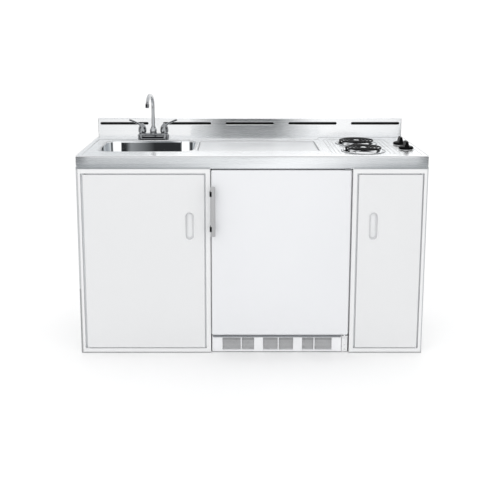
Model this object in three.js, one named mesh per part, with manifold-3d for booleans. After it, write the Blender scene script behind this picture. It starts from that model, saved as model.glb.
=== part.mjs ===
// Compact kitchen, 60 in (1524 mm) wide: stainless top with sink, recessed work area and two-coil hob,
// steel cabinets left and right, undercounter refrigerator between them.
// Millimetres. +X to the right, +Z up, the front faces -Y, the floor is z = 0.
// Inside the inner group y is the depth behind the apron's front face; the inner group is then shifted
// so that the origin is at the middle of the footprint.
import * as THREE from "three";
import { mergeVertices } from "three/addons/utils/BufferGeometryUtils.js";
import Module from "manifold-3d";

// ---------- driving dimensions ----------
const HALF = 762; // half the overall width, 60 in
const GAP = 0.3; // clearance between pieces that touch
const RIM_Z = 895; // top of the raised rim and of the back ledge
const DECK_Z = 892; // pressed deck
const APRON_Z = 838.6; // lower edge of the apron
const SKIN = 3; // sheet thickness of the top
const CAB_TOP = APRON_Z - GAP;
const SPLASH_Y = 615; // backsplash face
const SPLASH_DEPTH = 22;
const SPLASH_TOP = 985;
const SLOT = { pitch: 315, length: 242, z0: 953, z1: 966 };
const FRONT_MOST = -50; // front of the refrigerator handle
const REAR_MOST = SPLASH_Y + SPLASH_DEPTH;
const Y_SHIFT = -(FRONT_MOST + REAR_MOST) / 2;

const RIM_FRONT = 24; // width of the front rim
const RIM_SIDE = 17;
const LEDGE_Y = 520; // front of the back ledge
const HOB_DECK = { x0: 334, y1: 588 }; // the deck runs further back behind the hob
const WORK = { x0: -245, x1: 310, y0: 165, y1: 474, depth: 8, bevel: 5, r: 12 };
const HOB = { x0: 353, x1: 660, y0: 66, y1: 548, depth: 4, bevelX: 30, bevelY: 16, r: 58 };
const SINK = { x0: -691, x1: -263, y0: 139, y1: 481, r: 66, floor: 742 };
const DRAIN = { x: -477, y: 318, hole: 48 };

const BURNER = { x: 507, front: 190, rear: 414, pan: 98, hole: 93, coil: 78, tube: 4, z: 903 };
const KNOB = { x: 705, front: 211, rear: 347, r: 33, z: 895, push: 2.5 };

const FAUCET = { x: -477.5, y: 540, hub: 54 };

// left cabinet, right cabinet and the bay between them
const LEFT = { x0: -762, x1: -181, open0: -744, open1: -201, door0: -733, door1: -208, pivot: -725, pull: -272 };
const RIGHT = { x0: 437, x1: 762, open0: 455, open1: 746, door0: 463.5, door1: 738, pivot: 730, pull: 530.5 };
const PANEL = 16;
const FRAME = { y0: 1.5, y1: 19.5, zLow: 20, zHigh: 819 };
const DOOR = { y0: 0, y1: 18, z0: 25, z1: 813 };
const PULL = { z: 585, w: 45, h: 131, deep: 12 };
const CAB_BACK = 609;

// refrigerator
const FRIDGE = { x0: -174, x1: 428, y0: 33.5, y1: 590, z0: 18, z1: 832 };
const FDOOR = { x0: -176.5, x1: 429, y0: -14, y1: 22, z0: 88, z1: 834 };
const HINGE = { x: 415, y: -2 };
const CAVITY = { x0: -140, x1: 394, y1: 550, z0: 100, z1: 797, stepY: 400, stepZ: 262 };
const MACHINE = { y0: 432, z1: 230 };

// ---------- solid helpers ----------
const wasm = await Module();
wasm.setup();

function solid(geometry) {
  const bare = new THREE.BufferGeometry();
  const flat = geometry.index ? geometry.toNonIndexed() : geometry;
  bare.setAttribute("position", flat.getAttribute("position").clone());
  const merged = mergeVertices(bare, 1e-4);
  const index = [];
  const all = merged.index.array;
  for (let i = 0; i < all.length; i += 3) {
    const [a, b, c] = [all[i], all[i + 1], all[i + 2]];
    if (a !== b && b !== c && a !== c) index.push(a, b, c);
  }
  const make = (order) =>
    new wasm.Manifold(
      new wasm.Mesh({
        numProp: 3,
        vertProperties: new Float32Array(merged.attributes.position.array),
        triVerts: new Uint32Array(order),
      }),
    );
  const made = make(index);
  if (made.volume() > 0) return made;
  for (let i = 0; i < index.length; i += 3) [index[i + 1], index[i + 2]] = [index[i + 2], index[i + 1]];
  return make(index);
}

const join = (...list) => list.reduce((a, b) => a.add(b));
const cut = (base, ...list) => list.reduce((a, b) => a.subtract(b), base);

function box(x0, x1, y0, y1, z0, z1) {
  const g = new THREE.BoxGeometry(x1 - x0, y1 - y0, z1 - z0);
  g.translate((x0 + x1) / 2, (y0 + y1) / 2, (z0 + z1) / 2);
  return solid(g);
}

// cylinder along an axis, from a to b on that axis, centred on (u, v) in the other two
function rod(axis, a, b, u, v, r, sides = 16) {
  const g = new THREE.CylinderGeometry(r, r, b - a, sides);
  if (axis === "z") {
    g.rotateX(Math.PI / 2);
    g.translate(u, v, (a + b) / 2);
  } else if (axis === "x") {
    g.rotateZ(Math.PI / 2);
    g.translate((a + b) / 2, u, v);
  } else g.translate(u, (a + b) / 2, v);
  return solid(g);
}

function roundRect(x0, x1, y0, y1, r, steps) {
  const points = [];
  const corner = (cx, cy, from) => {
    for (let i = 0; i <= steps; i++) {
      const a = from + (i / steps) * (Math.PI / 2);
      points.push([cx + r * Math.cos(a), cy + r * Math.sin(a)]);
    }
  };
  corner(x1 - r, y1 - r, 0);
  corner(x0 + r, y1 - r, Math.PI / 2);
  corner(x0 + r, y0 + r, Math.PI);
  corner(x1 - r, y0 + r, 1.5 * Math.PI);
  return points;
}

// the same outline with extra points along its straight sides
function denseRect(x0, x1, y0, y1, r, steps, nx, ny) {
  const base = roundRect(x0, x1, y0, y1, r, steps);
  const out = [];
  base.forEach((p, i) => {
    out.push(p);
    if ((i + 1) % (steps + 1)) return;
    const q = base[(i + 1) % base.length];
    const n = Math.abs(q[0] - p[0]) > Math.abs(q[1] - p[1]) ? nx : ny;
    for (let k = 1; k < n; k++) out.push([p[0] + ((q[0] - p[0]) * k) / n, p[1] + ((q[1] - p[1]) * k) / n]);
  });
  return out;
}

// upright prism over an outline in x, y
function prism(points, z0, z1) {
  const shape = new THREE.Shape(points.map((p) => new THREE.Vector2(p[0], p[1])));
  const g = new THREE.ExtrudeGeometry(shape, { depth: z1 - z0, bevelEnabled: false });
  g.translate(0, 0, z0);
  return solid(g);
}

// prism over an outline in x, z that runs from y0 to y1
function prismY(points, y0, y1) {
  const shape = new THREE.Shape(points.map((p) => new THREE.Vector2(p[0], p[1])));
  const g = new THREE.ExtrudeGeometry(shape, { depth: y1 - y0, bevelEnabled: false });
  g.applyMatrix4(new THREE.Matrix4().makeBasis(new THREE.Vector3(1, 0, 0), new THREE.Vector3(0, 0, 1), new THREE.Vector3(0, 1, 0)));
  g.translate(0, y0, 0);
  return solid(g);
}

// skin stretched over a stack of outlines that all have the same number of points
function stack(rings, closed = false) {
  const n = rings[0].length;
  const position = rings.flat().flat();
  const index = [];
  const total = closed ? rings.length : rings.length - 1;
  for (let k = 0; k < total; k++) {
    const a = k * n;
    const b = ((k + 1) % rings.length) * n;
    for (let i = 0; i < n; i++) {
      const j = (i + 1) % n;
      index.push(a + i, a + j, b + j, a + i, b + j, b + i);
    }
  }
  if (!closed) {
    const middle = (ring) => ring.reduce((s, p) => [s[0] + p[0] / n, s[1] + p[1] / n, s[2] + p[2] / n], [0, 0, 0]);
    const last = (rings.length - 1) * n;
    position.push(...middle(rings[0]), ...middle(rings[rings.length - 1]));
    const low = rings.length * n;
    for (let i = 0; i < n; i++) {
      const j = (i + 1) % n;
      index.push(low, j, i, low + 1, last + i, last + j);
    }
  }
  const g = new THREE.BufferGeometry();
  g.setAttribute("position", new THREE.Float32BufferAttribute(position, 3));
  g.setIndex(index);
  return solid(g);
}

const atZ = (points, z) => points.map((p) => [p[0], p[1], z]);

// solid turned about a vertical axis at (x, y); the profile is a list of [r, z]
function turned(profile, x, y, sides = 32) {
  const g = new THREE.LatheGeometry(profile.map((p) => new THREE.Vector2(p[0], p[1])), sides);
  g.applyMatrix4(new THREE.Matrix4().makeBasis(new THREE.Vector3(1, 0, 0), new THREE.Vector3(0, 0, 1), new THREE.Vector3(0, 1, 0)));
  g.translate(x, y, 0);
  return solid(g);
}

function tube(curve, r, steps, sides = 8) {
  const section = [];
  for (let i = 0; i < sides; i++) {
    const a = (i / sides) * 2 * Math.PI;
    section.push(new THREE.Vector2(r * Math.cos(a), r * Math.sin(a)));
  }
  return solid(new THREE.ExtrudeGeometry(new THREE.Shape(section), { steps, bevelEnabled: false, extrudePath: curve }));
}

// ---------- the scene ----------
const kitchenette = new THREE.Group();
const inner = new THREE.Group();
inner.position.set(0, Y_SHIFT, 0);
kitchenette.add(inner);

const FINISH = {
  steel: { color: 0xc6cacd, metalness: 1, roughness: 0.28 },
  bowl: { color: 0xb4bac0, metalness: 1, roughness: 0.12 },
  chrome: { color: 0xdfe3e6, metalness: 1, roughness: 0.05 },
  zinc: { color: 0xa9adb0, metalness: 1, roughness: 0.4 },
  white: { color: 0xe9eaec, metalness: 0, roughness: 0.35 },
  cabinet: { color: 0xe1e2e3, metalness: 0, roughness: 0.45 },
  plastic: { color: 0xe6e7e8, metalness: 0, roughness: 0.4 },
  grey: { color: 0xa6a7a9, metalness: 0, roughness: 0.45 },
  black: { color: 0x141416, metalness: 0, roughness: 0.35 },
  element: { color: 0x1b1b1d, metalness: 0.6, roughness: 0.55 },
  rubber: { color: 0xd4d5d6, metalness: 0, roughness: 0.8 },
  glass: { color: 0xdfeeee, metalness: 0, roughness: 0.05, transparent: true, opacity: 0.4 },
};

function add(name, made, finish, parent = inner) {
  const m = made.getMesh();
  const n = m.numProp;
  const position = new Float32Array(m.numVert * 3);
  for (let i = 0; i < m.numVert; i++) position.set(m.vertProperties.subarray(i * n, i * n + 3), i * 3);
  const g = new THREE.BufferGeometry();
  g.setAttribute("position", new THREE.BufferAttribute(position, 3));
  g.setIndex(new THREE.BufferAttribute(new Uint32Array(m.triVerts), 1));
  g.computeVertexNormals();
  const mesh = new THREE.Mesh(g, new THREE.MeshStandardMaterial(FINISH[finish]));
  mesh.name = name;
  parent.add(mesh);
  return mesh;
}

// ---------- countertop ----------
{
  const slab = box(-HALF, HALF, 0, SPLASH_Y - GAP, APRON_Z, RIM_Z);
  // pressed deck: sloped sides down from the rim
  const slope = (RIM_Z - DECK_Z) / 6;
  const press = (x0, x1, y1) =>
    stack([
      atZ(roundRect(x0 + 6, x1 - 6, RIM_FRONT + 6, y1 - 10, 30, 4), DECK_Z),
      atZ(roundRect(x0, x1, RIM_FRONT, y1, 34, 4), RIM_Z),
      atZ(roundRect(x0 - 4, x1 + 4, RIM_FRONT - 4, y1 + 6, 38, 4), RIM_Z + 4 * slope),
    ]);
  const deck = join(press(-HALF + RIM_SIDE, HALF - RIM_SIDE, LEDGE_Y), press(HOB_DECK.x0, HALF - RIM_SIDE, HOB_DECK.y1));
  const dish = (o, grow, drop, top) => {
    const bx = o.bevelX ?? o.bevel;
    const by = o.bevelY ?? o.bevel;
    const up = top - (DECK_Z - drop);
    const k = (up + o.depth) / o.depth;
    return stack([
      atZ(roundRect(o.x0 + bx - grow, o.x1 - bx + grow, o.y0 + by - grow, o.y1 - by + grow, Math.max(o.r - by, 4) + grow, 4), DECK_Z - drop - o.depth),
      atZ(roundRect(o.x0 - grow, o.x1 + grow, o.y0 - grow, o.y1 + grow, o.r + grow, 4), DECK_Z - drop),
      atZ(
        roundRect(
          o.x0 + bx - bx * k - grow, o.x1 - bx + bx * k + grow,
          o.y0 + by - by * k - grow, o.y1 - by + by * k + grow,
          o.r + grow + by * (k - 1), 4,
        ),
        top,
      ),
    ]);
  };
  const work = dish(WORK, 0, 0, DECK_Z + 1);
  const hob = dish(HOB, 0, 0, DECK_Z + 0.5);
  // the same two dishes one sheet thickness lower keep their floors under the hollow
  const workUnder = dish(WORK, 3, SKIN, DECK_Z + 1);
  const hobUnder = dish(HOB, 3, SKIN, DECK_Z + 0.5);
  const hollow = join(
    box(-HALF + SKIN, HALF - SKIN, SKIN, SPLASH_Y - 3, APRON_Z + 3, DECK_Z - SKIN),
    box(-HALF + 18, HALF - 18, 18, SPLASH_Y - 3, APRON_Z - 5, APRON_Z + 4),
  );
  let top = cut(slab, deck, work, hob);
  top = cut(top, cut(hollow, workUnder, hobUnder));
  const holes = [
    prism(roundRect(SINK.x0, SINK.x1, SINK.y0, SINK.y1, SINK.r, 5), 850, 900),
    rod("z", 860, 900, BURNER.x, BURNER.front, BURNER.hole, 28),
    rod("z", 860, 900, BURNER.x, BURNER.rear, BURNER.hole, 28),
    rod("z", 860, 900, KNOB.x, KNOB.front, 6, 16),
    rod("z", 860, 900, KNOB.x, KNOB.rear, 6, 16),
    rod("z", 860, 900, FAUCET.x - FAUCET.hub, FAUCET.y, 14, 16),
    rod("z", 860, 900, FAUCET.x + FAUCET.hub, FAUCET.y, 14, 16),
  ];
  top = cut(top, ...holes);
  // rolled front and side edges
  const roll = 5;
  const edge = [];
  for (let i = 0; i <= 4; i++) {
    const a = (i / 4) * (Math.PI / 2);
    edge.push([roll - roll * Math.cos(a), RIM_Z - roll + roll * Math.sin(a)]);
  }
  // front roll: wedge above the arc, run along x
  const wedge = new THREE.Shape([new THREE.Vector2(-2, RIM_Z - roll), ...edge.map((p) => new THREE.Vector2(p[0], p[1])), new THREE.Vector2(roll, RIM_Z + 2), new THREE.Vector2(-2, RIM_Z + 2)]);
  const g = new THREE.ExtrudeGeometry(wedge, { depth: 2 * HALF + 10, bevelEnabled: false });
  // (u, v, w) -> x = w, y = u, z = v
  g.applyMatrix4(new THREE.Matrix4().makeBasis(new THREE.Vector3(0, 1, 0), new THREE.Vector3(0, 0, 1), new THREE.Vector3(1, 0, 0)));
  g.translate(-HALF - 5, 0, 0);
  top = cut(top, solid(g));
  add("countertop", top, "steel");
}

// ---------- backsplash: closed folded box with five vent slots ----------
{
  const y1 = SPLASH_Y + SPLASH_DEPTH;
  let s = cut(
    box(-HALF, HALF, SPLASH_Y, y1, APRON_Z, SPLASH_TOP),
    box(-HALF + 2, HALF - 2, SPLASH_Y + 2, y1 - 2, APRON_Z + 2, SPLASH_TOP - 2),
  );
  for (let i = -2; i <= 2; i++) {
    const c = i * SLOT.pitch;
    s = cut(s, prismY(roundRect(c - SLOT.length / 2, c + SLOT.length / 2, SLOT.z0, SLOT.z1, 6.4, 3), SPLASH_Y - 4, SPLASH_Y + 6));
  }
  add("backsplash", s, "steel");
}

// ---------- sink ----------
{
  const outlineAt = (o) => denseRect(SINK.x0 - o, SINK.x1 + o, SINK.y0 - o, SINK.y1 + o, Math.max(SINK.r + o, 20), 5, 4, 3);
  const r = (o, z) => atZ(outlineAt(o), z);
  const around = (radius, z) => {
    return outlineAt(-33).map((p) => {
      const a = Math.atan2(p[1] - DRAIN.y, p[0] - DRAIN.x);
      return [DRAIN.x + radius * Math.cos(a), DRAIN.y + radius * Math.sin(a), z];
    });
  };
  const top = DECK_Z - SKIN - GAP;
  const f = SINK.floor;
  const inside = [r(0, top), r(-6, f + 40), r(-11, f + 21), r(-20, f + 9), r(-33, f + 4), around(DRAIN.hole, f)];
  const outside = [around(DRAIN.hole, f - 2), r(-32, f + 2), r(-18, f + 7.2), r(-9, f + 20), r(-4, f + 40), r(2, top - 2), r(12, top - 2), r(12, top)];
  add("sink_bowl", stack([...inside, ...outside], true), "bowl");
  add(
    "sink_drain",
    turned(
      [
        [57, f + 1.5], [57, f + 2.4], [52, f + 3.2], [44, f + 2.4], [40, f - 4], [38, f - 38], [20, f - 44],
        [16.5, f - 46], [16.5, f - 142], [19, f - 142], [19, f - 48], [40.5, f - 41], [43, f - 12], [58, f - 12], [58, f - 3],
        [44.6, f - 3], [44.6, f + 0.6], [57, f + 1.5],
      ],
      DRAIN.x, DRAIN.y, 24,
    ),
    "chrome",
  );
  add(
    "strainer_basket",
    join(
      turned([[39, f + 3.8], [39, f + 4.8], [35.2, f + 4.8], [33.6, f - 26], [0, f - 28], [0, f - 30], [34.8, f - 28], [36.6, f + 3.8], [39, f + 3.8]], DRAIN.x, DRAIN.y, 18),
      turned([[0, f - 29], [3, f - 29], [3, f - 6], [7, f - 4], [8, f - 1], [6, f + 2], [0, f + 3]], DRAIN.x, DRAIN.y, 10),
    ),
    "chrome",
  );
}

// ---------- faucet ----------
{
  const { x, y, hub } = FAUCET;
  const z = RIM_Z + GAP;
  const plate = stack([
    atZ(roundRect(x - 77, x + 77, y - 27, y + 27, 26.9, 7), z),
    atZ(roundRect(x - 77, x + 77, y - 27, y + 27, 26.9, 7), z + 9),
    atZ(roundRect(x - 74, x + 74, y - 24, y + 24, 23.9, 7), z + 17),
    atZ(roundRect(x - 68, x + 68, y - 18, y + 18, 17.9, 7), z + 21),
  ]);
  // raised middle of the casting, between the two handle seats
  const bridge = stack([
    atZ(roundRect(x - hub, x + hub, y - 19, y + 19, 8, 3), z + 8),
    atZ(roundRect(x - hub, x + hub, y - 19, y + 19, 8, 3), z + 20),
    atZ(roundRect(x - hub + 3, x + hub - 3, y - 16, y + 16, 6, 3), z + 25.6),
  ]);
  const bell = (cx) => turned([[0, z + 10], [25, z + 10], [23, z + 16], [18.5, z + 22], [18.5, z + 26], [0, z + 26]], cx, y, 18);
  const shank = (cx) => rod("z", 846, z + 4, cx, y, 10, 16);
  add(
    "faucet_body",
    join(plate, bridge, bell(x - hub), bell(x + hub), turned([[0, z + 10], [20, z + 10], [17.5, z + 26], [17, z + 31], [0, z + 31]], x, y, 18), shank(x - hub), shank(x + hub)),
    "chrome",
  );

  // gooseneck: straight riser, 165 degree bend forward, aerator
  const turn = THREE.MathUtils.degToRad(-7.5);
  const R = 60;
  const zc = 1053;
  class Neck extends THREE.Curve {
    getPoint(t, out = new THREE.Vector3()) {
      const straight = zc - 945;
      const bend = R * THREE.MathUtils.degToRad(165);
      const s = t * (straight + bend);
      if (s <= straight) return out.set(0, 0, 945 + s);
      const a = (s - straight) / R;
      return out.set(0, -R * (1 - Math.cos(a)), zc + R * Math.sin(a));
    }
  }
  const neck = tube(new Neck(), 8.6, 22, 10);
  const a = THREE.MathUtils.degToRad(165);
  const tip = new THREE.CylinderGeometry(10.2, 9.6, 19, 12);
  tip.rotateX(Math.PI / 2);
  tip.rotateX(THREE.MathUtils.degToRad(15));
  tip.translate(0, -R * (1 - Math.cos(a)) - 0.26 * 7, zc + R * Math.sin(a) - 0.966 * 7);
  const collar = turned([[0, z + 31.3], [15.5, z + 31.3], [16.5, z + 36], [16, z + 46], [12.5, z + 52], [11.5, z + 58], [0, z + 58]], 0, 0, 18);
  const spoutGroup = new THREE.Group();
  spoutGroup.position.set(x, y, 0);
  spoutGroup.rotation.z = turn;
  inner.add(spoutGroup);
  add("faucet_spout", join(neck, solid(tip), collar), "chrome", spoutGroup);

  const section = (px, pz, w, h, tilt) => {
    const out = [];
    for (let i = 0; i < 10; i++) {
      const b = (i / 10) * 2 * Math.PI;
      const u = w * Math.cos(b);
      const v = h * Math.sin(b);
      out.push([px - v * Math.sin(tilt), u, pz + v * Math.cos(tilt)]);
    }
    return out;
  };
  const handle = (name, side) => {
    const hubPiece = turned([[0, z + 26.4], [16.5, z + 26.4], [20, z + 33], [20.5, z + 46], [18, z + 57], [13, z + 66], [7, z + 71], [0, z + 72.5]], 0, 0, 18);
    const wing = stack([
      section(2, z + 60, 9, 6, 0.45), section(-14, z + 70, 9, 6, 0.45), section(-32, z + 80, 8, 4.6, 0.42),
      section(-50, z + 88, 9.5, 4, 0.3), section(-60, z + 91, 9, 3.4, 0.2), section(-64, z + 91.5, 5, 2, 0.1),
    ]);
    const made = join(hubPiece, wing);
    const g = new THREE.Group();
    g.position.set(x + side * hub, y, 0);
    if (side > 0) g.rotation.z = Math.PI;
    inner.add(g);
    add(name, made, "chrome", g);
  };
  handle("hot_handle", -1);
  handle("cold_handle", 1);
}

// ---------- hob ----------
function burner(which, y) {
  const x = BURNER.x;
  const floor = DECK_Z - HOB.depth;
  // drip pan: rim on the hob floor, bowl below, window in the bowl for the terminals
  let pan = turned(
    [
      [BURNER.pan, floor + GAP], [BURNER.pan, floor + 1.6], [96, floor + 2.8], [91, floor + 2.4], [86, floor - 4], [76, floor - 19], [50, floor - 27],
      [22, floor - 28], [22, floor - 30], [51, floor - 29], [78, floor - 21], [88, floor - 5], [91.5, floor + GAP], [BURNER.pan, floor + GAP],
    ],
    x, y, 28,
  );
  pan = cut(pan, box(x - 92, x - 58, y - 24, y + 24, floor - 28.5, floor - 1.5));
  add("drip_pan_" + which, pan, "chrome");

  const socketX0 = x - 118;
  const socketX1 = x - 90;
  add(
    "coil_socket_" + which,
    cut(box(socketX0, socketX1, y - 22, y + 22, 858, 884), box(socketX0 + 6, socketX1 + 5, y - 18, y + 18, 861, 881.5)),
    "plastic",
  );

  // coil element: four turns of tube on three radial bars, two legs that run down and out to the socket
  class Spiral extends THREE.Curve {
    getPoint(t, out = new THREE.Vector3()) {
      const a = Math.PI + t * 4 * 2 * Math.PI;
      const rr = 20 + (BURNER.coil - 20) * t;
      return out.set(x + rr * Math.cos(a), y + rr * Math.sin(a), BURNER.z);
    }
  }
  let coil = tube(new Spiral(), BURNER.tube, 68, 6);
  const bar = (deg) => {
    const g = new THREE.BoxGeometry(90, 2.2, 7.6);
    g.translate(45, 0, 0);
    g.rotateZ(THREE.MathUtils.degToRad(deg));
    g.translate(x, y, BURNER.z - BURNER.tube - 3);
    return solid(g);
  };
  const foot = (deg) => {
    const g = new THREE.BoxGeometry(8, 2.2, 5);
    g.translate(91, 0, 0);
    g.rotateZ(THREE.MathUtils.degToRad(deg));
    g.translate(x, y, floor + 2.8 + GAP + 2.5);
    return solid(g);
  };
  const medal = turned([[0, BURNER.z - 6], [13, BURNER.z - 6], [14, BURNER.z + 2], [9, BURNER.z + 3], [0, BURNER.z + 3]], x, y, 14);
  const leg = (side) =>
    join(
      rod("z", 872, BURNER.z, x - 76, y + side * 12, 3.2, 8),
      rod("x", x - 106, x - 72.8, y + side * 12, 872, 3, 8),
      side > 0 ? box(x - 79, x - 73, y, y + 12, BURNER.z - 3, BURNER.z + 3) : box(x - 79, x - 73, y - 12, y, BURNER.z - 3, BURNER.z + 3),
    );
  coil = join(coil, bar(0), bar(120), bar(240), foot(0), foot(120), foot(240), medal, leg(1), leg(-1));
  add("coil_" + which, coil, "element");

  const knobY = KNOB[which];
  const kx = KNOB.x;
  const under = DECK_Z - SKIN - GAP;
  add(
    "switch_" + which,
    cut(box(kx - 22, kx + 22, knobY - 24, knobY + 24, under - 34, under), rod("z", under - 24, under + 5, kx, knobY, 5, 16)),
    "black",
  );
  add("switch_shaft_" + which, rod("z", under - 18, KNOB.z + 17, kx, knobY, 3.5, 12), "zinc");
  const kz = KNOB.z;
  const skirt = turned([[0, kz], [KNOB.r, kz], [KNOB.r, kz + 3], [KNOB.r - 2.5, kz + 7.5], [KNOB.r - 9, kz + 10], [0, kz + 10.5]], kx, knobY, 24);
  const slab = (w, l, z) => atZ(roundRect(kx - w, kx + w, knobY - l, knobY + l, Math.min(w, l) * 0.9, 2), z);
  const blade = stack([slab(9.5, 30, kz + 6), slab(8.6, 29, kz + 14), slab(7.6, 27, kz + 31), slab(6, 25, kz + 35)]);
  add("knob_" + which, cut(join(skirt, blade), rod("z", kz - 5, kz + 18, kx, knobY, 3.9, 12)), "black");
}
burner("front", BURNER.front);
burner("rear", BURNER.rear);

// ---------- cabinets ----------
function cabinet(side, C) {
  const inside0 = C.x0 + PANEL;
  const inside1 = C.x1 - PANEL;
  const y0 = FRAME.y1 + GAP;
  const outer = side === "left" ? "outer" : "inner";
  const other = side === "left" ? "inner" : "outer";
  add(side + "_" + outer + "_side", box(C.x0, inside0, y0, CAB_BACK + 3, 0, CAB_TOP), "cabinet");
  add(side + "_" + other + "_side", box(inside1, C.x1, y0, CAB_BACK + 3, 0, CAB_TOP), "cabinet");
  add(side + "_floor_panel", box(inside0 + GAP, inside1 - GAP, y0, CAB_BACK - 12 - GAP, 4, 19.5), "cabinet");
  add(side + "_back_panel", box(inside0 + GAP, inside1 - GAP, CAB_BACK - 12, CAB_BACK, 4, CAB_TOP), "cabinet");
  const pinY = 9;
  let frame = cut(box(C.x0, C.x1, FRAME.y0, FRAME.y1, 0, CAB_TOP), box(C.open0, C.open1, -5, 30, FRAME.zLow, FRAME.zHigh));
  frame = cut(frame, rod("z", 7, 30, C.pivot, pinY, 4.3, 12), rod("z", 810, CAB_TOP - 6, C.pivot, pinY, 4.3, 12));
  add(side + "_face_frame", frame, "cabinet");
  add(side + "_door_pin_lower", rod("z", 7.5, 38, C.pivot, pinY, 4, 12), "zinc");
  add(side + "_door_pin_upper", rod("z", 800, CAB_TOP - 6.5, C.pivot, pinY, 4, 12), "zinc");

  // door with a stadium hole for the pull
  const stadium = (o) => roundRect(C.pull - PULL.w / 2 - o, C.pull + PULL.w / 2 + o, PULL.z - PULL.h / 2 - o, PULL.z + PULL.h / 2 + o, PULL.w / 2 + o - 0.1, 5);
  let door = box(C.door0, C.door1, DOOR.y0, DOOR.y1, DOOR.z0, DOOR.z1);
  door = cut(door, prismY(stadium(-3), -5, 14.6), rod("z", 20, 38.6, C.pivot, pinY, 4.4, 12), rod("z", 799.4, 820, C.pivot, pinY, 4.4, 12));
  add(side + "_door_panel", door, "cabinet");
  // pull: thin flange on the door face, cup behind it
  let pull = join(prismY(stadium(0), -1.6, -GAP), prismY(stadium(-3.4), -1, PULL.deep + 2));
  pull = cut(pull, prismY(stadium(-5.4), -5, PULL.deep));
  add(side + "_door_pull", pull, "plastic");
}
cabinet("left", LEFT);
cabinet("right", RIGHT);

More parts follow.
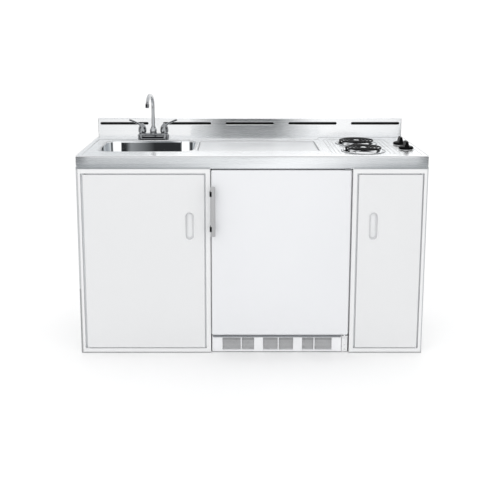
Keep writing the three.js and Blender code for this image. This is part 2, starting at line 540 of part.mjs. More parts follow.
// ---------- refrigerator body ----------
{
  const F = FRIDGE;
  // steel shell, open in front, stepped at the lower back for the machine space
  const shellOuter = cut(box(F.x0, F.x1, F.y0, F.y1, F.z0, F.z1), box(F.x0 - 5, F.x1 + 5, MACHINE.y0, F.y1 + 5, F.z0 - 5, MACHINE.z1));
  const shellInner = cut(
    box(F.x0 + 1.5, F.x1 - 1.5, F.y0 - 5, F.y1 - 1.5, F.z0 + 1.5, F.z1 - 1.5),
    box(F.x0 - 5, F.x1 + 5, MACHINE.y0 - 1.5, F.y1 + 5, F.z0 - 5, MACHINE.z1 + 1.5),
  );
  add("fridge_case", cut(shellOuter, shellInner), "white");
  const C = CAVITY;
  const o = 1.5 + GAP;
  const foam = cut(
    box(F.x0 + o, F.x1 - o, F.y0, F.y1 - o, F.z0 + o, F.z1 - o),
    box(F.x0 - 5, F.x1 + 5, MACHINE.y0 - o, F.y1 + 5, F.z0 - 5, MACHINE.z1 + o),
  );
  const cavity = cut(box(C.x0, C.x1, F.y0 - 5, C.y1, C.z0, C.z1), box(C.x0 - 5, C.x1 + 5, C.stepY, C.y1 + 5, C.z0 - 5, C.stepZ));
  const ledge = (z) => join(box(C.x0 - 3, C.x0 + 8, 150, 540, z - 5, z), box(C.x1 - 8, C.x1 + 3, 150, 540, z - 5, z));
  add("fridge_liner", join(cut(foam, cavity), ledge(479.5), box(C.x0 - 3, C.x0 + 8, 180, 540, 654, 659), box(C.x1 - 8, C.x1 + 3, 180, 540, 654, 659)), "plastic");

  add("fridge_base_rail_left", box(F.x0 + 2, F.x0 + 26, 60, 585, 0, F.z0 - GAP), "zinc");
  add("fridge_base_rail_right", box(F.x1 - 26, F.x1 - 2, 60, 585, 0, F.z0 - GAP), "zinc");

  // compressor dome on a cross plate that lies on both rails
  const plate = box(F.x0 + 2, F.x1 - 2, MACHINE.y0 + 8, 584, F.z0, F.z0 + 4);
  const dome = turned([[0, F.z0 + 3], [62, F.z0 + 3], [70, F.z0 + 24], [71, F.z0 + 78], [66, F.z0 + 120], [48, F.z0 + 146], [20, F.z0 + 154], [0, F.z0 + 155]], 250, 511, 18);
  add("compressor", join(plate, dome), "black");

  // condenser: one serpentine tube behind the case
  const rows = 7;
  const path = new THREE.CurvePath();
  const [cx0, cx1] = [-108, 362];
  const pitch = 82;
  const base = 262;
  for (let i = 0; i < rows; i++) {
    const z = base + i * pitch;
    const from = i % 2 ? cx1 : cx0;
    const to = i % 2 ? cx0 : cx1;
    path.add(new THREE.LineCurve3(new THREE.Vector3(from, 598, z), new THREE.Vector3(to, 598, z)));
    if (i < rows - 1) {
      const s = i % 2 ? -1 : 1;
      path.add(new THREE.CubicBezierCurve3(new THREE.Vector3(to, 598, z), new THREE.Vector3(to + s * 52, 598, z), new THREE.Vector3(to + s * 52, 598, z + pitch), new THREE.Vector3(to, 598, z + pitch)));
    }
  }
  const bars = [-60, 127, 314].map((bx) => box(bx - 6, bx + 6, 596, 600, base - 12, base + (rows - 1) * pitch + 12));
  const stand = [-60, 314].flatMap((bx) => [box(bx - 5, bx + 5, F.y1 + GAP, 598, 300, 312), box(bx - 5, bx + 5, F.y1 + GAP, 598, 690, 702)]);
  add("condenser", join(tube(path, 2.6, 92, 5), ...bars, ...stand), "black");

  // freezer compartment: open-front box under the ceiling, with a flap hung on its top edge
  const Z = { x0: -128, x1: 382, y0: 190, y1: 545, z0: 660, z1: 792 };
  add(
    "freezer_box",
    join(
      cut(box(Z.x0, Z.x1, Z.y0, Z.y1, Z.z0, Z.z1), box(Z.x0 + 3, Z.x1 - 3, Z.y0 - 5, Z.y1 - 3, Z.z0 + 3, Z.z1 - 3)),
      box(Z.x0 - 11, Z.x0 + 1, Z.y0 + 10, Z.y1 - 10, Z.z0, Z.z0 + 3),
      box(Z.x1 - 1, Z.x1 + 11, Z.y0 + 10, Z.y1 - 10, Z.z0, Z.z0 + 3),
    ),
    "zinc",
  );
  add("freezer_flap", box(Z.x0 + 1, Z.x1 - 1, Z.y0 - 8, Z.y0 - 2, Z.z0 + 2, Z.z1 - 6), "plastic");
  add("fridge_shelf", box(C.x0 + 1, C.x1 - 1, 150, 546, 479.8, 485), "glass");
  add("crisper_cover", box(C.x0 + 1, C.x1 - 1, 178, 546, C.stepZ + GAP, C.stepZ + 5), "glass");
  add(
    "crisper_drawer",
    join(
      cut(box(-112, 366, 190, 388, C.z0 + GAP, C.stepZ - 12), box(-109, 363, 193, 385, C.z0 + 3.3, C.stepZ)),
      box(-112, 366, 184, 191, C.stepZ - 30, C.stepZ - 12),
    ),
    "glass",
  );
  add(
    "thermostat_dial",
    join(rod("x", C.x1 - 6, C.x1 - 0.5, 170, 600, 20, 24), rod("x", C.x1 - 15, C.x1 - 5, 170, 600, 13, 20), box(C.x1 - 18, C.x1 - 5, 167, 173, 588, 612)),
    "plastic",
  );

  // hinges and kick grille
  add("fridge_lower_hinge", join(box(405, 431, 9, 13, 2, 81), box(405, 431, -10, 13, 77.5, 81), rod("z", 80, 101, HINGE.x, HINGE.y, 4, 12)), "zinc");
  add("fridge_upper_hinge", join(box(400, 427, -9, 72, 834.6, 837.6), box(400, 427, 38, 72, F.z1 + GAP, 835), rod("z", 820, 835, HINGE.x, HINGE.y, 4, 12)), "zinc");
  let grille = box(-176, 403, 8, 20, 0.5, 80);
  const windows = [[-130, -50], [-41, 12], [52, 117], [123, 187], [227, 277], [285, 360]];
  for (const [a, b] of windows) grille = cut(grille, box(a, b, 0, 17.5, 11, 68));
  const slats = [];
  for (const [a, b] of windows) for (let i = 0; i < 7; i++) slats.push(box(a - 0.5, b + 0.5, 10.5, 18, 14.2 + i * 7.6, 18.2 + i * 7.6));
  add("kick_grille", join(grille, ...slats), "white");
}

// ---------- refrigerator door ----------
{
  const D = FDOOR;
  const outline = roundRect(D.x0, D.x1, D.z0, D.z1, 5, 3);
  let skin = prismY(outline, D.y0, D.y1);
  skin = cut(skin, rod("z", D.z0 - 5, D.z0 + 14, HINGE.x, HINGE.y, 4.4, 12), rod("z", D.z1 - 15, D.z1 + 5, HINGE.x, HINGE.y, 4.4, 12));
  // rounded front verticals
  const bite = (x, s) => {
    const pts = [[x + s * 3, D.y0 - 3]];
    const r = 7;
    pts.push([x - s * r, D.y0 - 3]);
    for (let i = 0; i <= 4; i++) {
      const a = (i / 4) * (Math.PI / 2);
      pts.push([x - s * r + s * r * Math.sin(a), D.y0 + r - r * Math.cos(a)]);
    }
    pts.push([x + s * 3, D.y0 + r]);
    return prism(s > 0 ? pts : pts.reverse(), D.z0 - 5, D.z1 + 5);
  };
  skin = cut(skin, bite(D.x0, -1), bite(D.x1, 1));
  add("fridge_door_skin", skin, "white");

  const y = D.y1 + GAP;
  let liner = join(
    cut(box(-150, 392, y, y + 3, 108, 812), box(-120, 370, y - 5, y + 10, 132, 777)),
    cut(box(-128, 378, y + 2, 60, 124, 785), box(-120, 370, y - 5, 70, 132, 777)),
  );
  // two racks moulded across the liner
  const rack = (z, h, deep) =>
    join(box(-121, 371, y, deep, z, z + 4), box(-121, 371, deep - 4, deep, z, z + h), box(-121, -117, y + 2, deep, z, z + h), box(367, 371, y + 2, deep, z, z + h));
  liner = join(liner, rack(300, 80, 118), rack(520, 60, 112));
  add("fridge_door_liner", liner, "plastic");
  add("fridge_door_gasket", cut(box(-166, 409, y, 33.2, 94, 827), box(-151, 393, y - 5, 40, 107, 813)), "rubber");

  add("handle_mount_upper", box(-182.5, -171, -38, D.y0 - GAP, 727, 747), "black");
  add("handle_mount_lower", box(-182.5, -171, -38, D.y0 - GAP, 572, 592), "black");
  add("handle_bar", prism(roundRect(-179, -158.5, FRONT_MOST, -38 - GAP, 3.5, 3), 549, 769), "grey");
}

export default kitchenette;
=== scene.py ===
import math

import bpy
from mathutils import Vector, Matrix
from mathutils.geometry import delaunay_2d_cdt


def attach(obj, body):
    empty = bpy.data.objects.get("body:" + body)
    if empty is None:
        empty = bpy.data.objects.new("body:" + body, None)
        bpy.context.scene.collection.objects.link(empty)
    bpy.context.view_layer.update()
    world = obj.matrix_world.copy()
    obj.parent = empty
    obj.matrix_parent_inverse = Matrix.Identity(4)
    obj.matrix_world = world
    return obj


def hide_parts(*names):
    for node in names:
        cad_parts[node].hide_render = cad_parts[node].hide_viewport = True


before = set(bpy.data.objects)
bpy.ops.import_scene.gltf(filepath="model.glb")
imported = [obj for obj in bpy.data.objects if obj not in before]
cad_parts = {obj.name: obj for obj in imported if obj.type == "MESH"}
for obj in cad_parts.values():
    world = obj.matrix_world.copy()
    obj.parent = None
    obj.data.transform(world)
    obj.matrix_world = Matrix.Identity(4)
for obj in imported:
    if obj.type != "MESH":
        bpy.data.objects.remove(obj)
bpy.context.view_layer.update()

# The drawing below is in millimetres: x to the right, y = depth behind the apron's front face, z up.
YS = 293.5
scene = bpy.context.scene


def mm(p):
    return ((p[0]) / 1000.0, (p[1] - YS) / 1000.0, p[2] / 1000.0)


# ------------------------------------------------------------------ mesh helpers
class Shape:
    """Vertices in mm, faces and a material index for each face."""

    def __init__(self):
        self.v, self.f, self.m = [], [], []

    def add(self, made, mat=0):
        verts, faces = made
        o = len(self.v)
        self.v += [tuple(p) for p in verts]
        self.f += [tuple(i + o for i in f) for f in faces]
        self.m += [mat] * len(faces)
        return self


def moved(made, d):
    return [(p[0] + d[0], p[1] + d[1], p[2] + d[2]) for p in made[0]], made[1]


def turned_about(made, axis, deg, at=(0, 0, 0)):
    m = Matrix.Rotation(math.radians(deg), 3, axis)
    c = Vector(at)
    return [tuple(m @ (Vector(p) - c) + c) for p in made[0]], made[1]


def box(x0, x1, y0, y1, z0, z1):
    v = [(x, y, z) for z in (z0, z1) for y in (y0, y1) for x in (x0, x1)]
    return v, [(0, 2, 3, 1), (4, 5, 7, 6), (0, 1, 5, 4), (2, 6, 7, 3), (0, 4, 6, 2), (1, 3, 7, 5)]


def rr(x0, x1, y0, y1, r, n=6, nx=1, ny=1):
    """Rounded rectangle, anticlockwise, n steps a corner, nx and ny pieces along the straight sides."""
    r = max(0.05, min(r, (x1 - x0) / 2 - 0.01, (y1 - y0) / 2 - 0.01))
    out = []
    corners = [(x1 - r, y1 - r, 0), (x0 + r, y1 - r, 90), (x0 + r, y0 + r, 180), (x1 - r, y0 + r, 270)]
    for cx, cy, a0 in corners:
        out.append([(cx + r * math.cos(math.radians(a0 + 90 * i / n)), cy + r * math.sin(math.radians(a0 + 90 * i / n))) for i in range(n + 1)])
    pts = []
    for k, arc in enumerate(out):
        pts += arc
        a, b = arc[-1], out[(k + 1) % 4][0]
        s = nx if k % 2 == 0 else ny
        pts += [(a[0] + (b[0] - a[0]) * j / s, a[1] + (b[1] - a[1]) * j / s) for j in range(1, s)]
    return pts


def circle(cx, cy, r, n=48, a0=0.0):
    return [(cx + r * math.cos(a0 + 2 * math.pi * i / n), cy + r * math.sin(a0 + 2 * math.pi * i / n)) for i in range(n)]


def at_z(pts, z):
    return [(p[0], p[1], z) for p in pts]


def at_y(pts, y):
    return [(p[0], y, p[1]) for p in pts]


def at_x(pts, x):
    return [(x, p[0], p[1]) for p in pts]


def loft(rings, closed=False, caps=True):
    n = len(rings[0])
    v = [p for r in rings for p in r]
    f = []
    for k in range(len(rings) if closed else len(rings) - 1):
        a, b = k * n, ((k + 1) % len(rings)) * n
        for i in range(n):
            j = (i + 1) % n
            f.append((a + i, a + j, b + j, b + i))
    if caps and not closed:
        f.append(tuple(reversed(range(n))))
        f.append(tuple((len(rings) - 1) * n + i for i in range(n)))
    return v, f


def lathe(profile, cx=0.0, cy=0.0, n=48):
    """Turned about the vertical through (cx, cy). A profile that returns to its start is a ring; one that ends on the axis is closed there."""
    ring_closed = len(profile) > 2 and profile[0] == profile[-1]
    pts = profile[:-1] if ring_closed else profile
    v, ids = [], []
    for r, z in pts:
        if r < 1e-6:
            ids.append([len(v)] * n)
            v.append((cx, cy, z))
        else:
            ids.append(list(range(len(v), len(v) + n)))
            v += [(cx + r * math.cos(2 * math.pi * i / n), cy + r * math.sin(2 * math.pi * i / n), z) for i in range(n)]
    f = []
    for k in range(len(pts) if ring_closed else len(pts) - 1):
        a, b = ids[k], ids[(k + 1) % len(pts)]
        for i in range(n):
            j = (i + 1) % n
            q = []
            for x in (a[i], a[j], b[j], b[i]):
                if x not in q:
                    q.append(x)
            if len(q) > 2:
                f.append(tuple(q))
    return v, f


def fillet(profile, radii, n=4):
    """A profile of (a, b) points with its inner corners rounded; radii maps an index to a radius."""
    out = []
    for i, p in enumerate(profile):
        r = radii.get(i, 0) if isinstance(radii, dict) else radii
        if i in (0, len(profile) - 1) or r <= 0:
            out.append(p)
            continue
        a, b, c = Vector(profile[i - 1]), Vector(p), Vector(profile[i + 1])
        u, w = (a - b), (c - b)
        if u.length < 1e-6 or w.length < 1e-6:
            out.append(p)
            continue
        lim = min(u.length, w.length) * 0.49
        u.normalize(), w.normalize()
        ang = u.angle(w)
        if ang > math.pi - 0.02:
            out.append(p)
            continue
        d = min(r / math.tan(ang / 2), lim)
        p0, p2 = b + u * d, b + w * d
        for k in range(n + 1):
            t = k / n
            q = p0 * (1 - t) ** 2 + b * 2 * t * (1 - t) + p2 * t * t
            out.append((q.x, q.y))
    return out


def sweep(path, radius, n=14, caps=True, section=None):
    """Tube along points; radius is a number or a list. section(i) gives (a, b): half width sideways and half height."""
    pts = [Vector(p) for p in path]
    t = []
    for i in range(len(pts)):
        a, b = pts[max(i - 1, 0)], pts[min(i + 1, len(pts) - 1)]
        t.append((b - a).normalized())
    up = Vector((0, 0, 1)) if abs(t[0].z) < 0.9 else Vector((0, -1, 0))
    side = t[0].cross(up).normalized()
    rings = []
    for i, p in enumerate(pts):
        side = (side - t[i] * side.dot(t[i])).normalized()
        high = side.cross(t[i]).normalized()
        a, b = section(i) if section else (radius[i] if isinstance(radius, (list, tuple)) else radius,) * 2
        rings.append([tuple(p + side * a * math.cos(2 * math.pi * k / n) + high * b * math.sin(2 * math.pi * k / n)) for k in range(n)])
    return loft(rings, caps=caps)


def catmull(pts, steps=8):
    out = []
    p = [Vector(q) for q in pts]
    p = [p[0] * 2 - p[1]] + p + [p[-1] * 2 - p[-2]]
    for i in range(1, len(p) - 2):
        for s in range(steps):
            u = s / steps
            a, b, c, d = p[i - 1], p[i], p[i + 1], p[i + 2]
            out.append(0.5 * ((2 * b) + (c - a) * u + (2 * a - 5 * b + 4 * c - d) * u * u + (3 * b - a - 3 * c + d) * u ** 3))
    out.append(p[-2])
    return [tuple(q) for q in out]


def inside(p, poly):
    x, y, c = p[0], p[1], False
    j = len(poly) - 1
    for i in range(len(poly)):
        (xi, yi), (xj, yj) = poly[i], poly[j]
        if (yi > y) != (yj > y) and x < (xj - xi) * (y - yi) / (yj - yi) + xi:
            c = not c
        j = i
    return c


def triangulate(loops, holes, lines=()):
    """Constrained triangles of the area inside the first loop and outside the holes. Returns (points with their input indices, faces)."""
    verts, edges = [], []
    for loop in list(loops) + list(holes):
        o = len(verts)
        verts += [Vector((p[0], p[1])) for p in loop]
        edges += [(o + i, o + (i + 1) % len(loop)) for i in range(len(loop))]
    for line in lines:
        o = len(verts)
        verts += [Vector((p[0], p[1])) for p in line]
        edges += [(o + i, o + i + 1) for i in range(len(line) - 1)]
    v, _, f, ov, _, _ = delaunay_2d_cdt(verts, edges, [], 1, 1e-4)
    keep = []
    for t in f:
        c = [sum(v[i][k] for i in t) / len(t) for k in (0, 1)]
        if inside(c, loops[0]) and not any(inside(c, h) for h in holes):
            keep.append(tuple(t))
    return v, keep, ov


def plate(outer, holes, axis, a, b):
    """Flat plate with holes, between a and b on its axis, seen along that axis."""
    to3 = {"z": lambda p, d: (p[0], p[1], d), "y": lambda p, d: (p[0], d, p[1]), "x": lambda p, d: (d, p[0], p[1])}[axis]
    v, f, ov = triangulate([outer], holes)
    n = len(v)
    verts = [to3(p, a) for p in v] + [to3(p, b) for p in v]
    faces = [t for t in f] + [tuple(i + n for i in reversed(t)) for t in f]
    used = {}
    for t in f:
        for i in range(len(t)):
            e = (t[i], t[(i + 1) % len(t)])
            used[e] = True
    for (i, j) in list(used):
        if (j, i) not in used:
            faces.append((j, i, i + n, j + n))
    return verts, faces


# ------------------------------------------------------------------ object helpers
def put(name, shape, mats, body, rep=(), sharp=32, bevel=0.0, seg=2, solid=0.0, subdiv=0, flip=False, angle=32, weld=False):
    if isinstance(shape, tuple):
        shape = Shape().add(shape)
    me = bpy.data.meshes.new(name)
    me.from_pydata([mm(p) for p in shape.v], [], shape.f)
    mats = mats if isinstance(mats, (list, tuple)) else [mats]
    for m in mats:
        me.materials.append(m)
    me.polygons.foreach_set("material_index", shape.m)
    me.validate(clean_customdata=False)
    import bmesh
    bm = bmesh.new()
    bm.from_mesh(me)
    if weld:
        bmesh.ops.remove_doubles(bm, verts=bm.verts, dist=1e-6)
    bmesh.ops.recalc_face_normals(bm, faces=bm.faces)
    if flip:
        bmesh.ops.reverse_faces(bm, faces=bm.faces)
    bm.to_mesh(me)
    bm.free()
    me.shade_smooth()
    me.set_sharp_from_angle(angle=math.radians(sharp))
    o = bpy.data.objects.new(name, me)
    scene.collection.objects.link(o)
    if solid:
        s = o.modifiers.new("thick", "SOLIDIFY")
        s.thickness, s.offset, s.use_even_offset, s.use_rim = solid / 1000.0, -1.0, True, True
    if bevel:
        b = o.modifiers.new("edge", "BEVEL")
        b.width, b.segments, b.limit_method, b.angle_limit = bevel / 1000.0, seg, "ANGLE", math.radians(angle)
        b.harden_normals = True
        b.use_clamp_overlap = True
    if subdiv:
        s = o.modifiers.new("fine", "SUBSURF")
        s.levels = s.render_levels = subdiv
    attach(o, body)
    if rep:
        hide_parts(*([rep] if isinstance(rep, str) else rep))
    return o


def dress(node, mat, bevel=0.0, seg=2):
    """A CAD piece that stays: its finish, and softened edges."""
    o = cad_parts[node]
    o.data.materials.clear()
    o.data.materials.append(mat)
    if bevel:
        w = o.modifiers.new("weld", "WELD")
        w.merge_threshold = 0.00002
        b = o.modifiers.new("edge", "BEVEL")
        b.width, b.segments, b.limit_method, b.angle_limit = bevel / 1000.0, seg, "ANGLE", math.radians(35)
        b.harden_normals = True
    return o


# ------------------------------------------------------------------ materials
def lin(c):
    return tuple((x / 12.92 if x <= 0.04045 else ((x + 0.055) / 1.055) ** 2.4) for x in c)


class Mat:
    def __init__(self, name, color, rough, metal=0.0, **sockets):
        self.m = bpy.data.materials.new(name)
        self.m.use_nodes = True
        self.t = self.m.node_tree
        self.b = self.t.nodes["Principled BSDF"]
        self.b.inputs["Base Color"].default_value = (*color, 1)
        self.b.inputs["Roughness"].default_value = rough
        self.b.inputs["Metallic"].default_value = metal
        for k, v in sockets.items():
            self.b.inputs[k.replace("_", " ")].default_value = v
        self.coord = self.t.nodes.new("ShaderNodeTexCoord").outputs["Object"]
        self.height = None

    def new(self, kind, **props):
        n = self.t.nodes.new(kind)
        for k, v in props.items():
            setattr(n, k, v)
        return n

    def link(self, a, b):
        self.t.links.new(a, b)

    def mapped(self, scale, rot=(0, 0, 0), loc=(0, 0, 0)):
        n = self.new("ShaderNodeMapping")
        n.inputs["Scale"].default_value = scale
        n.inputs["Rotation"].default_value = rot
        n.inputs["Location"].default_value = loc
        self.link(self.coord, n.inputs["Vector"])
        return n.outputs["Vector"]

    def noise(self, scale=(1, 1, 1), detail=3.0, rough=0.55, size=1.0, distortion=0.0, loc=(0, 0, 0)):
        n = self.new("ShaderNodeTexNoise")
        n.inputs["Scale"].default_value = size
        n.inputs["Detail"].default_value = detail
        n.inputs["Roughness"].default_value = rough
        n.inputs["Distortion"].default_value = distortion
        self.link(self.mapped(scale, loc=loc), n.inputs["Vector"])
        return n.outputs["Fac"]

    def range(self, value, a, b, lo=0.3, hi=0.7, smooth=False):
        n = self.new("ShaderNodeMapRange")
        if smooth:
            n.interpolation_type = "SMOOTHSTEP"
        n.inputs["From Min"].default_value = lo
        n.inputs["From Max"].default_value = hi
        n.inputs["To Min"].default_value = a
        n.inputs["To Max"].default_value = b
        self.link(value, n.inputs["Value"])
        return n.outputs["Result"]

    def math(self, op, a, b):
        n = self.new("ShaderNodeMath", operation=op)
        for i, x in enumerate((a, b)):
            if isinstance(x, (int, float)):
                n.inputs[i].default_value = x
            else:
                self.link(x, n.inputs[i])
        return n.outputs[0]

    def mix(self, fac, a, b):
        n = self.new("ShaderNodeMix", data_type="RGBA")
        self.link(fac, n.inputs["Factor"])
        for k, x in (("A", a), ("B", b)):
            s = [q for q in n.inputs if q.name == k and q.type == "RGBA"][0]
            if isinstance(x, tuple):
                s.default_value = (*x[:3], 1)
            else:
                self.link(x, s)
        return [q for q in n.outputs if q.type == "RGBA"][0]

    def axis(self, which):
        n = self.new("ShaderNodeSeparateXYZ")
        self.link(self.coord, n.inputs[0])
        return n.outputs[which]

    def color(self, out):
        self.link(out, self.b.inputs["Base Color"])

    def rough(self, out):
        self.link(out, self.b.inputs["Roughness"])

    def bump(self, height, strength, distance=0.001):
        n = self.new("ShaderNodeBump")
        n.inputs["Strength"].default_value = strength
        n.inputs["Distance"].default_value = distance
        self.link(height, n.inputs["Height"])
        if self.height is not None:
            self.link(self.height, n.inputs["Normal"])
        self.height = n.outputs["Normal"]
        self.link(self.height, self.b.inputs["Normal"])


def tone(c, k):
    return tuple(min(1.0, x * k) for x in c)


def enamel(name, color, rough=0.34, peel=0.05, coat=0.0, vary=0.02):
    """Sprayed and baked enamel on steel: faint orange peel, a little unevenness in tone and shine."""
    m = Mat(name, color, rough, 0.0, Coat_Weight=coat, Coat_Roughness=0.12)
    cloud = m.noise((3, 3, 3), 4)
    fine = m.noise((260, 260, 260), 2)
    m.color(m.mix(m.range(cloud, 0, 1), tone(color, 1 - vary), tone(color, 1 + vary * 0.5)))
    m.rough(m.range(m.noise((9, 9, 9), 1, loc=(2, 1, 0)), rough - 0.015, rough + 0.02, 0.2, 0.8))
    m.bump(fine, peel, 0.0006)
    return m.m


def steel(name, color, rough, grain=0, strength=0.09, vary=0.05, aniso=0.55, marks=0.02, recess=0):
    """Brushed stainless sheet. grain is the axis that the brushing follows: 0 along x, 1 along y, 2 along z."""
    m = Mat(name, color, rough, 1.0, Anisotropic=aniso)
    def stretched(fine, long=2.0):
        s = [fine, fine, fine]
        s[grain] = long
        return tuple(s)
    streak = m.noise(stretched(420, 1.2), 3, 0.6)
    hair = m.noise(stretched(1900, 8.0), 2, 0.6, loc=(0.3, 0.1, 0.7))
    cloud = m.noise((2.2, 4, 4), 3, loc=(1, 2, 3))
    both = m.math("ADD", m.math("MULTIPLY", streak, 0.6), m.math("MULTIPLY", hair, 0.4))
    m.color(m.mix(m.range(m.math("ADD", m.math("MULTIPLY", both, 0.8), m.math("MULTIPLY", cloud, 0.2)), 0, 1, 0.36, 0.64), tone(color, 1 - vary), tone(color, 1 + vary)))
    m.rough(m.range(both, rough - 0.05, rough + 0.07, 0.36, 0.64))
    m.bump(hair, strength, 0.0002)
    m.bump(streak, strength * 0.8, 0.0004)
    m.bump(cloud, marks, 0.003)
    v = m.new("ShaderNodeTangent", direction_type="RADIAL", axis="XYZ"[grain])
    m.link(v.outputs[0], m.b.inputs["Tangent"])
    if recess:
        # the deck's pressed slopes get a darker base colour: painted shade along the creases
        up = m.new("ShaderNodeSeparateXYZ")
        m.link(m.new("ShaderNodeNewGeometry").outputs["True Normal"], up.inputs[0])
        slope_shade = m.math("MULTIPLY", m.range(up.outputs[2], 1, 0, 0.982, 0.996), m.range(m.axis("Z"), 0, 1, 0.8865, 0.8875))
        slope_shade = m.math("MULTIPLY", slope_shade, m.range(m.axis("Z"), 1, 0, 0.8940, 0.8946))
        c = m.b.inputs["Base Color"].links[0].from_socket
        m.color(m.mix(slope_shade, c, tone(color, 0.74)))
        # the work area has a coarser satin finish: between its edges, below the deck
        low = m.range(m.axis("Z"), 1, 0, 0.8845, 0.8875)
        left = m.range(m.axis("X"), 0, 1, -0.30, -0.29)
        right = m.range(m.axis("X"), 1, 0, 0.315, 0.325)
        inner = m.range(m.axis("Y"), 0, 1, -0.20, -0.17)
        where = m.math("MULTIPLY", m.math("MULTIPLY", low, inner), m.math("MULTIPLY", left, right))
        c = m.b.inputs["Base Color"].links[0].from_socket
        m.color(m.mix(where, c, m.mix(m.range(both, 0, 1, 0.40, 0.60), tone(color, recess - 0.03), tone(color, recess + 0.03))))
        r = m.b.inputs["Roughness"].links[0].from_socket
        m.rough(m.math("ADD", r, m.math("MULTIPLY", where, 0.10)))
    return m.m


def polished(name, color, rough, wave=0.01, vary=0.03, scale=30):
    m = Mat(name, color, rough, 1.0)
    n = m.noise((scale, scale, scale), 3)
    m.color(m.mix(m.range(n, 0, 1), tone(color, 1 - vary), tone(color, 1 + vary)))
    m.rough(m.range(m.noise((scale * 3, scale * 3, scale * 3), 3, loc=(5, 2, 1)), max(rough - 0.02, 0.02), rough + 0.03))
    m.bump(n, wave, 0.001)
    return m.m


def plastic(name, color, rough, grain=420, strength=0.08, vary=0.02, **more):
    m = Mat(name, color, rough, 0.0, **more)
    n = m.noise((grain, grain, grain), 2)
    m.color(m.mix(m.range(m.noise((14, 14, 14), 3), 0, 1), tone(color, 1 - vary), tone(color, 1 + vary)))
    m.rough(m.range(n, rough - 0.05, rough + 0.05))
    m.bump(n, strength, 0.0004)
    return m.m


def oxide(name, color, rough, metal=0.3, spec=0.4):
    """Blackened element sheath or black paint: patchy tone and shine."""
    m = Mat(name, color, rough, metal, Specular_IOR_Level=spec)
    n = m.noise((60, 60, 60), 5, 0.65)
    m.color(m.mix(m.range(n, 0, 1), tone(color, 0.6), tone(color, 1.9)))
    m.rough(m.range(n, rough + 0.12, rough - 0.08))
    m.bump(m.noise((900, 900, 900), 2), 0.12, 0.0003)
    return m.m


CAB = enamel("cabinet_enamel", (0.748, 0.753, 0.761), 0.38, 0.05, vary=0.006)
CAB_FRAME = enamel("cabinet_frame_enamel", (0.805, 0.81, 0.816), 0.34, 0.04, vary=0.006)
# grey and dark enamels for strips of painted shade: down the cabinets' rounded outer edges, and painted contact shadow
# along the floor
EDGE_PAINTED_SHADE = enamel("edge_painted_shade_enamel", (0.50, 0.51, 0.52), 0.4, 0.04, vary=0.006)
EDGE_PAINTED_SHADOW_DARK = enamel("edge_painted_shade_dark", (0.30, 0.305, 0.31), 0.4, 0.04, vary=0.006)
# the stop flange's enamel glows faintly though it is no lamp: painted light that lightens the gaps round the cabinet
# doors
STOP_PAINTED_GLOW = enamel("stop_painted_glow_enamel", (0.70, 0.708, 0.718), 0.4, 0.04, vary=0.006)
for node in STOP_PAINTED_GLOW.node_tree.nodes:
    if node.type == "BSDF_PRINCIPLED":
        node.inputs["Emission Color"].default_value = (0.94, 0.98, 1.0, 1)
        node.inputs["Emission Strength"].default_value = 0.20
FRIDGE_W = enamel("fridge_enamel", (0.765, 0.773, 0.793), 0.30, 0.05, coat=0.15, vary=0.006)
STEEL = steel("top_steel", (0.87, 0.882, 0.895), 0.24, strength=0.016, vary=0.012, marks=0.002, recess=0.86)
SPLASH = steel("splash_steel", (0.91, 0.92, 0.93), 0.24, strength=0.016, vary=0.010, marks=0.002)
BOWL = polished("bowl_steel", (0.72, 0.735, 0.75), 0.035, wave=0.002, vary=0.015, scale=14)
CHROME = polished("chrome", (0.53, 0.542, 0.555), 0.04, wave=0.004, vary=0.015)
# darker copies of the same chrome for the faucet's body and levers: painted dark reflections
BODY_CHROME_PAINTED_DARK = polished("body_chrome_painted_dark", (0.30, 0.31, 0.32), 0.05, wave=0.004, vary=0.015)
LEVER_CHROME_PAINTED_DARK = polished("lever_chrome_painted_dark", (0.36, 0.37, 0.38), 0.05, wave=0.004, vary=0.015)
PAN = polished("pan_chrome", (0.78, 0.79, 0.80), 0.10, wave=0.03)
ZINC = polished("zinc_plate", (0.56, 0.57, 0.58), 0.32, wave=0.04, vary=0.08, scale=90)
WHITE_P = plastic("white_plastic", (0.84, 0.845, 0.85), 0.36)
PULL_P = plastic("pull_plastic", (0.785, 0.792, 0.80), 0.36)
# a darker copy of the pull plastic for the cup's walls: painted shade
PULL_WALL_SHADE = plastic("pull_wall_painted_shade", (0.66, 0.667, 0.677), 0.42)
GRILLE_P = plastic("grille_plastic", (0.84, 0.845, 0.86), 0.36)
SLAT_P = plastic("slat_plastic", (0.80, 0.805, 0.815), 0.45)
LINER = plastic("liner_plastic", (0.86, 0.868, 0.875), 0.22, grain=120, strength=0.03)
# near-black paint for painted shadow: round the drip pans' rims and along the top of the kick grille
SHADOW_PAINT_DARK = plastic("painted_shadow_dark", (0.17, 0.178, 0.192), 0.7)
HANDLE = plastic("handle_grey", (0.385, 0.387, 0.395), 0.42)
BLACK = plastic("black_plastic", (0.003, 0.003, 0.0035), 0.36, grain=300, strength=0.05, Specular_IOR_Level=0.05)
ELEMENT = oxide("element_sheath", (0.005, 0.005, 0.0055), 0.36, 0.0, 0.07)
BLACK_E = oxide("black_enamel", (0.018, 0.018, 0.02), 0.36, 0.0)
GASKET = plastic("gasket_rubber", (0.70, 0.705, 0.71), 0.62, grain=200, strength=0.15)
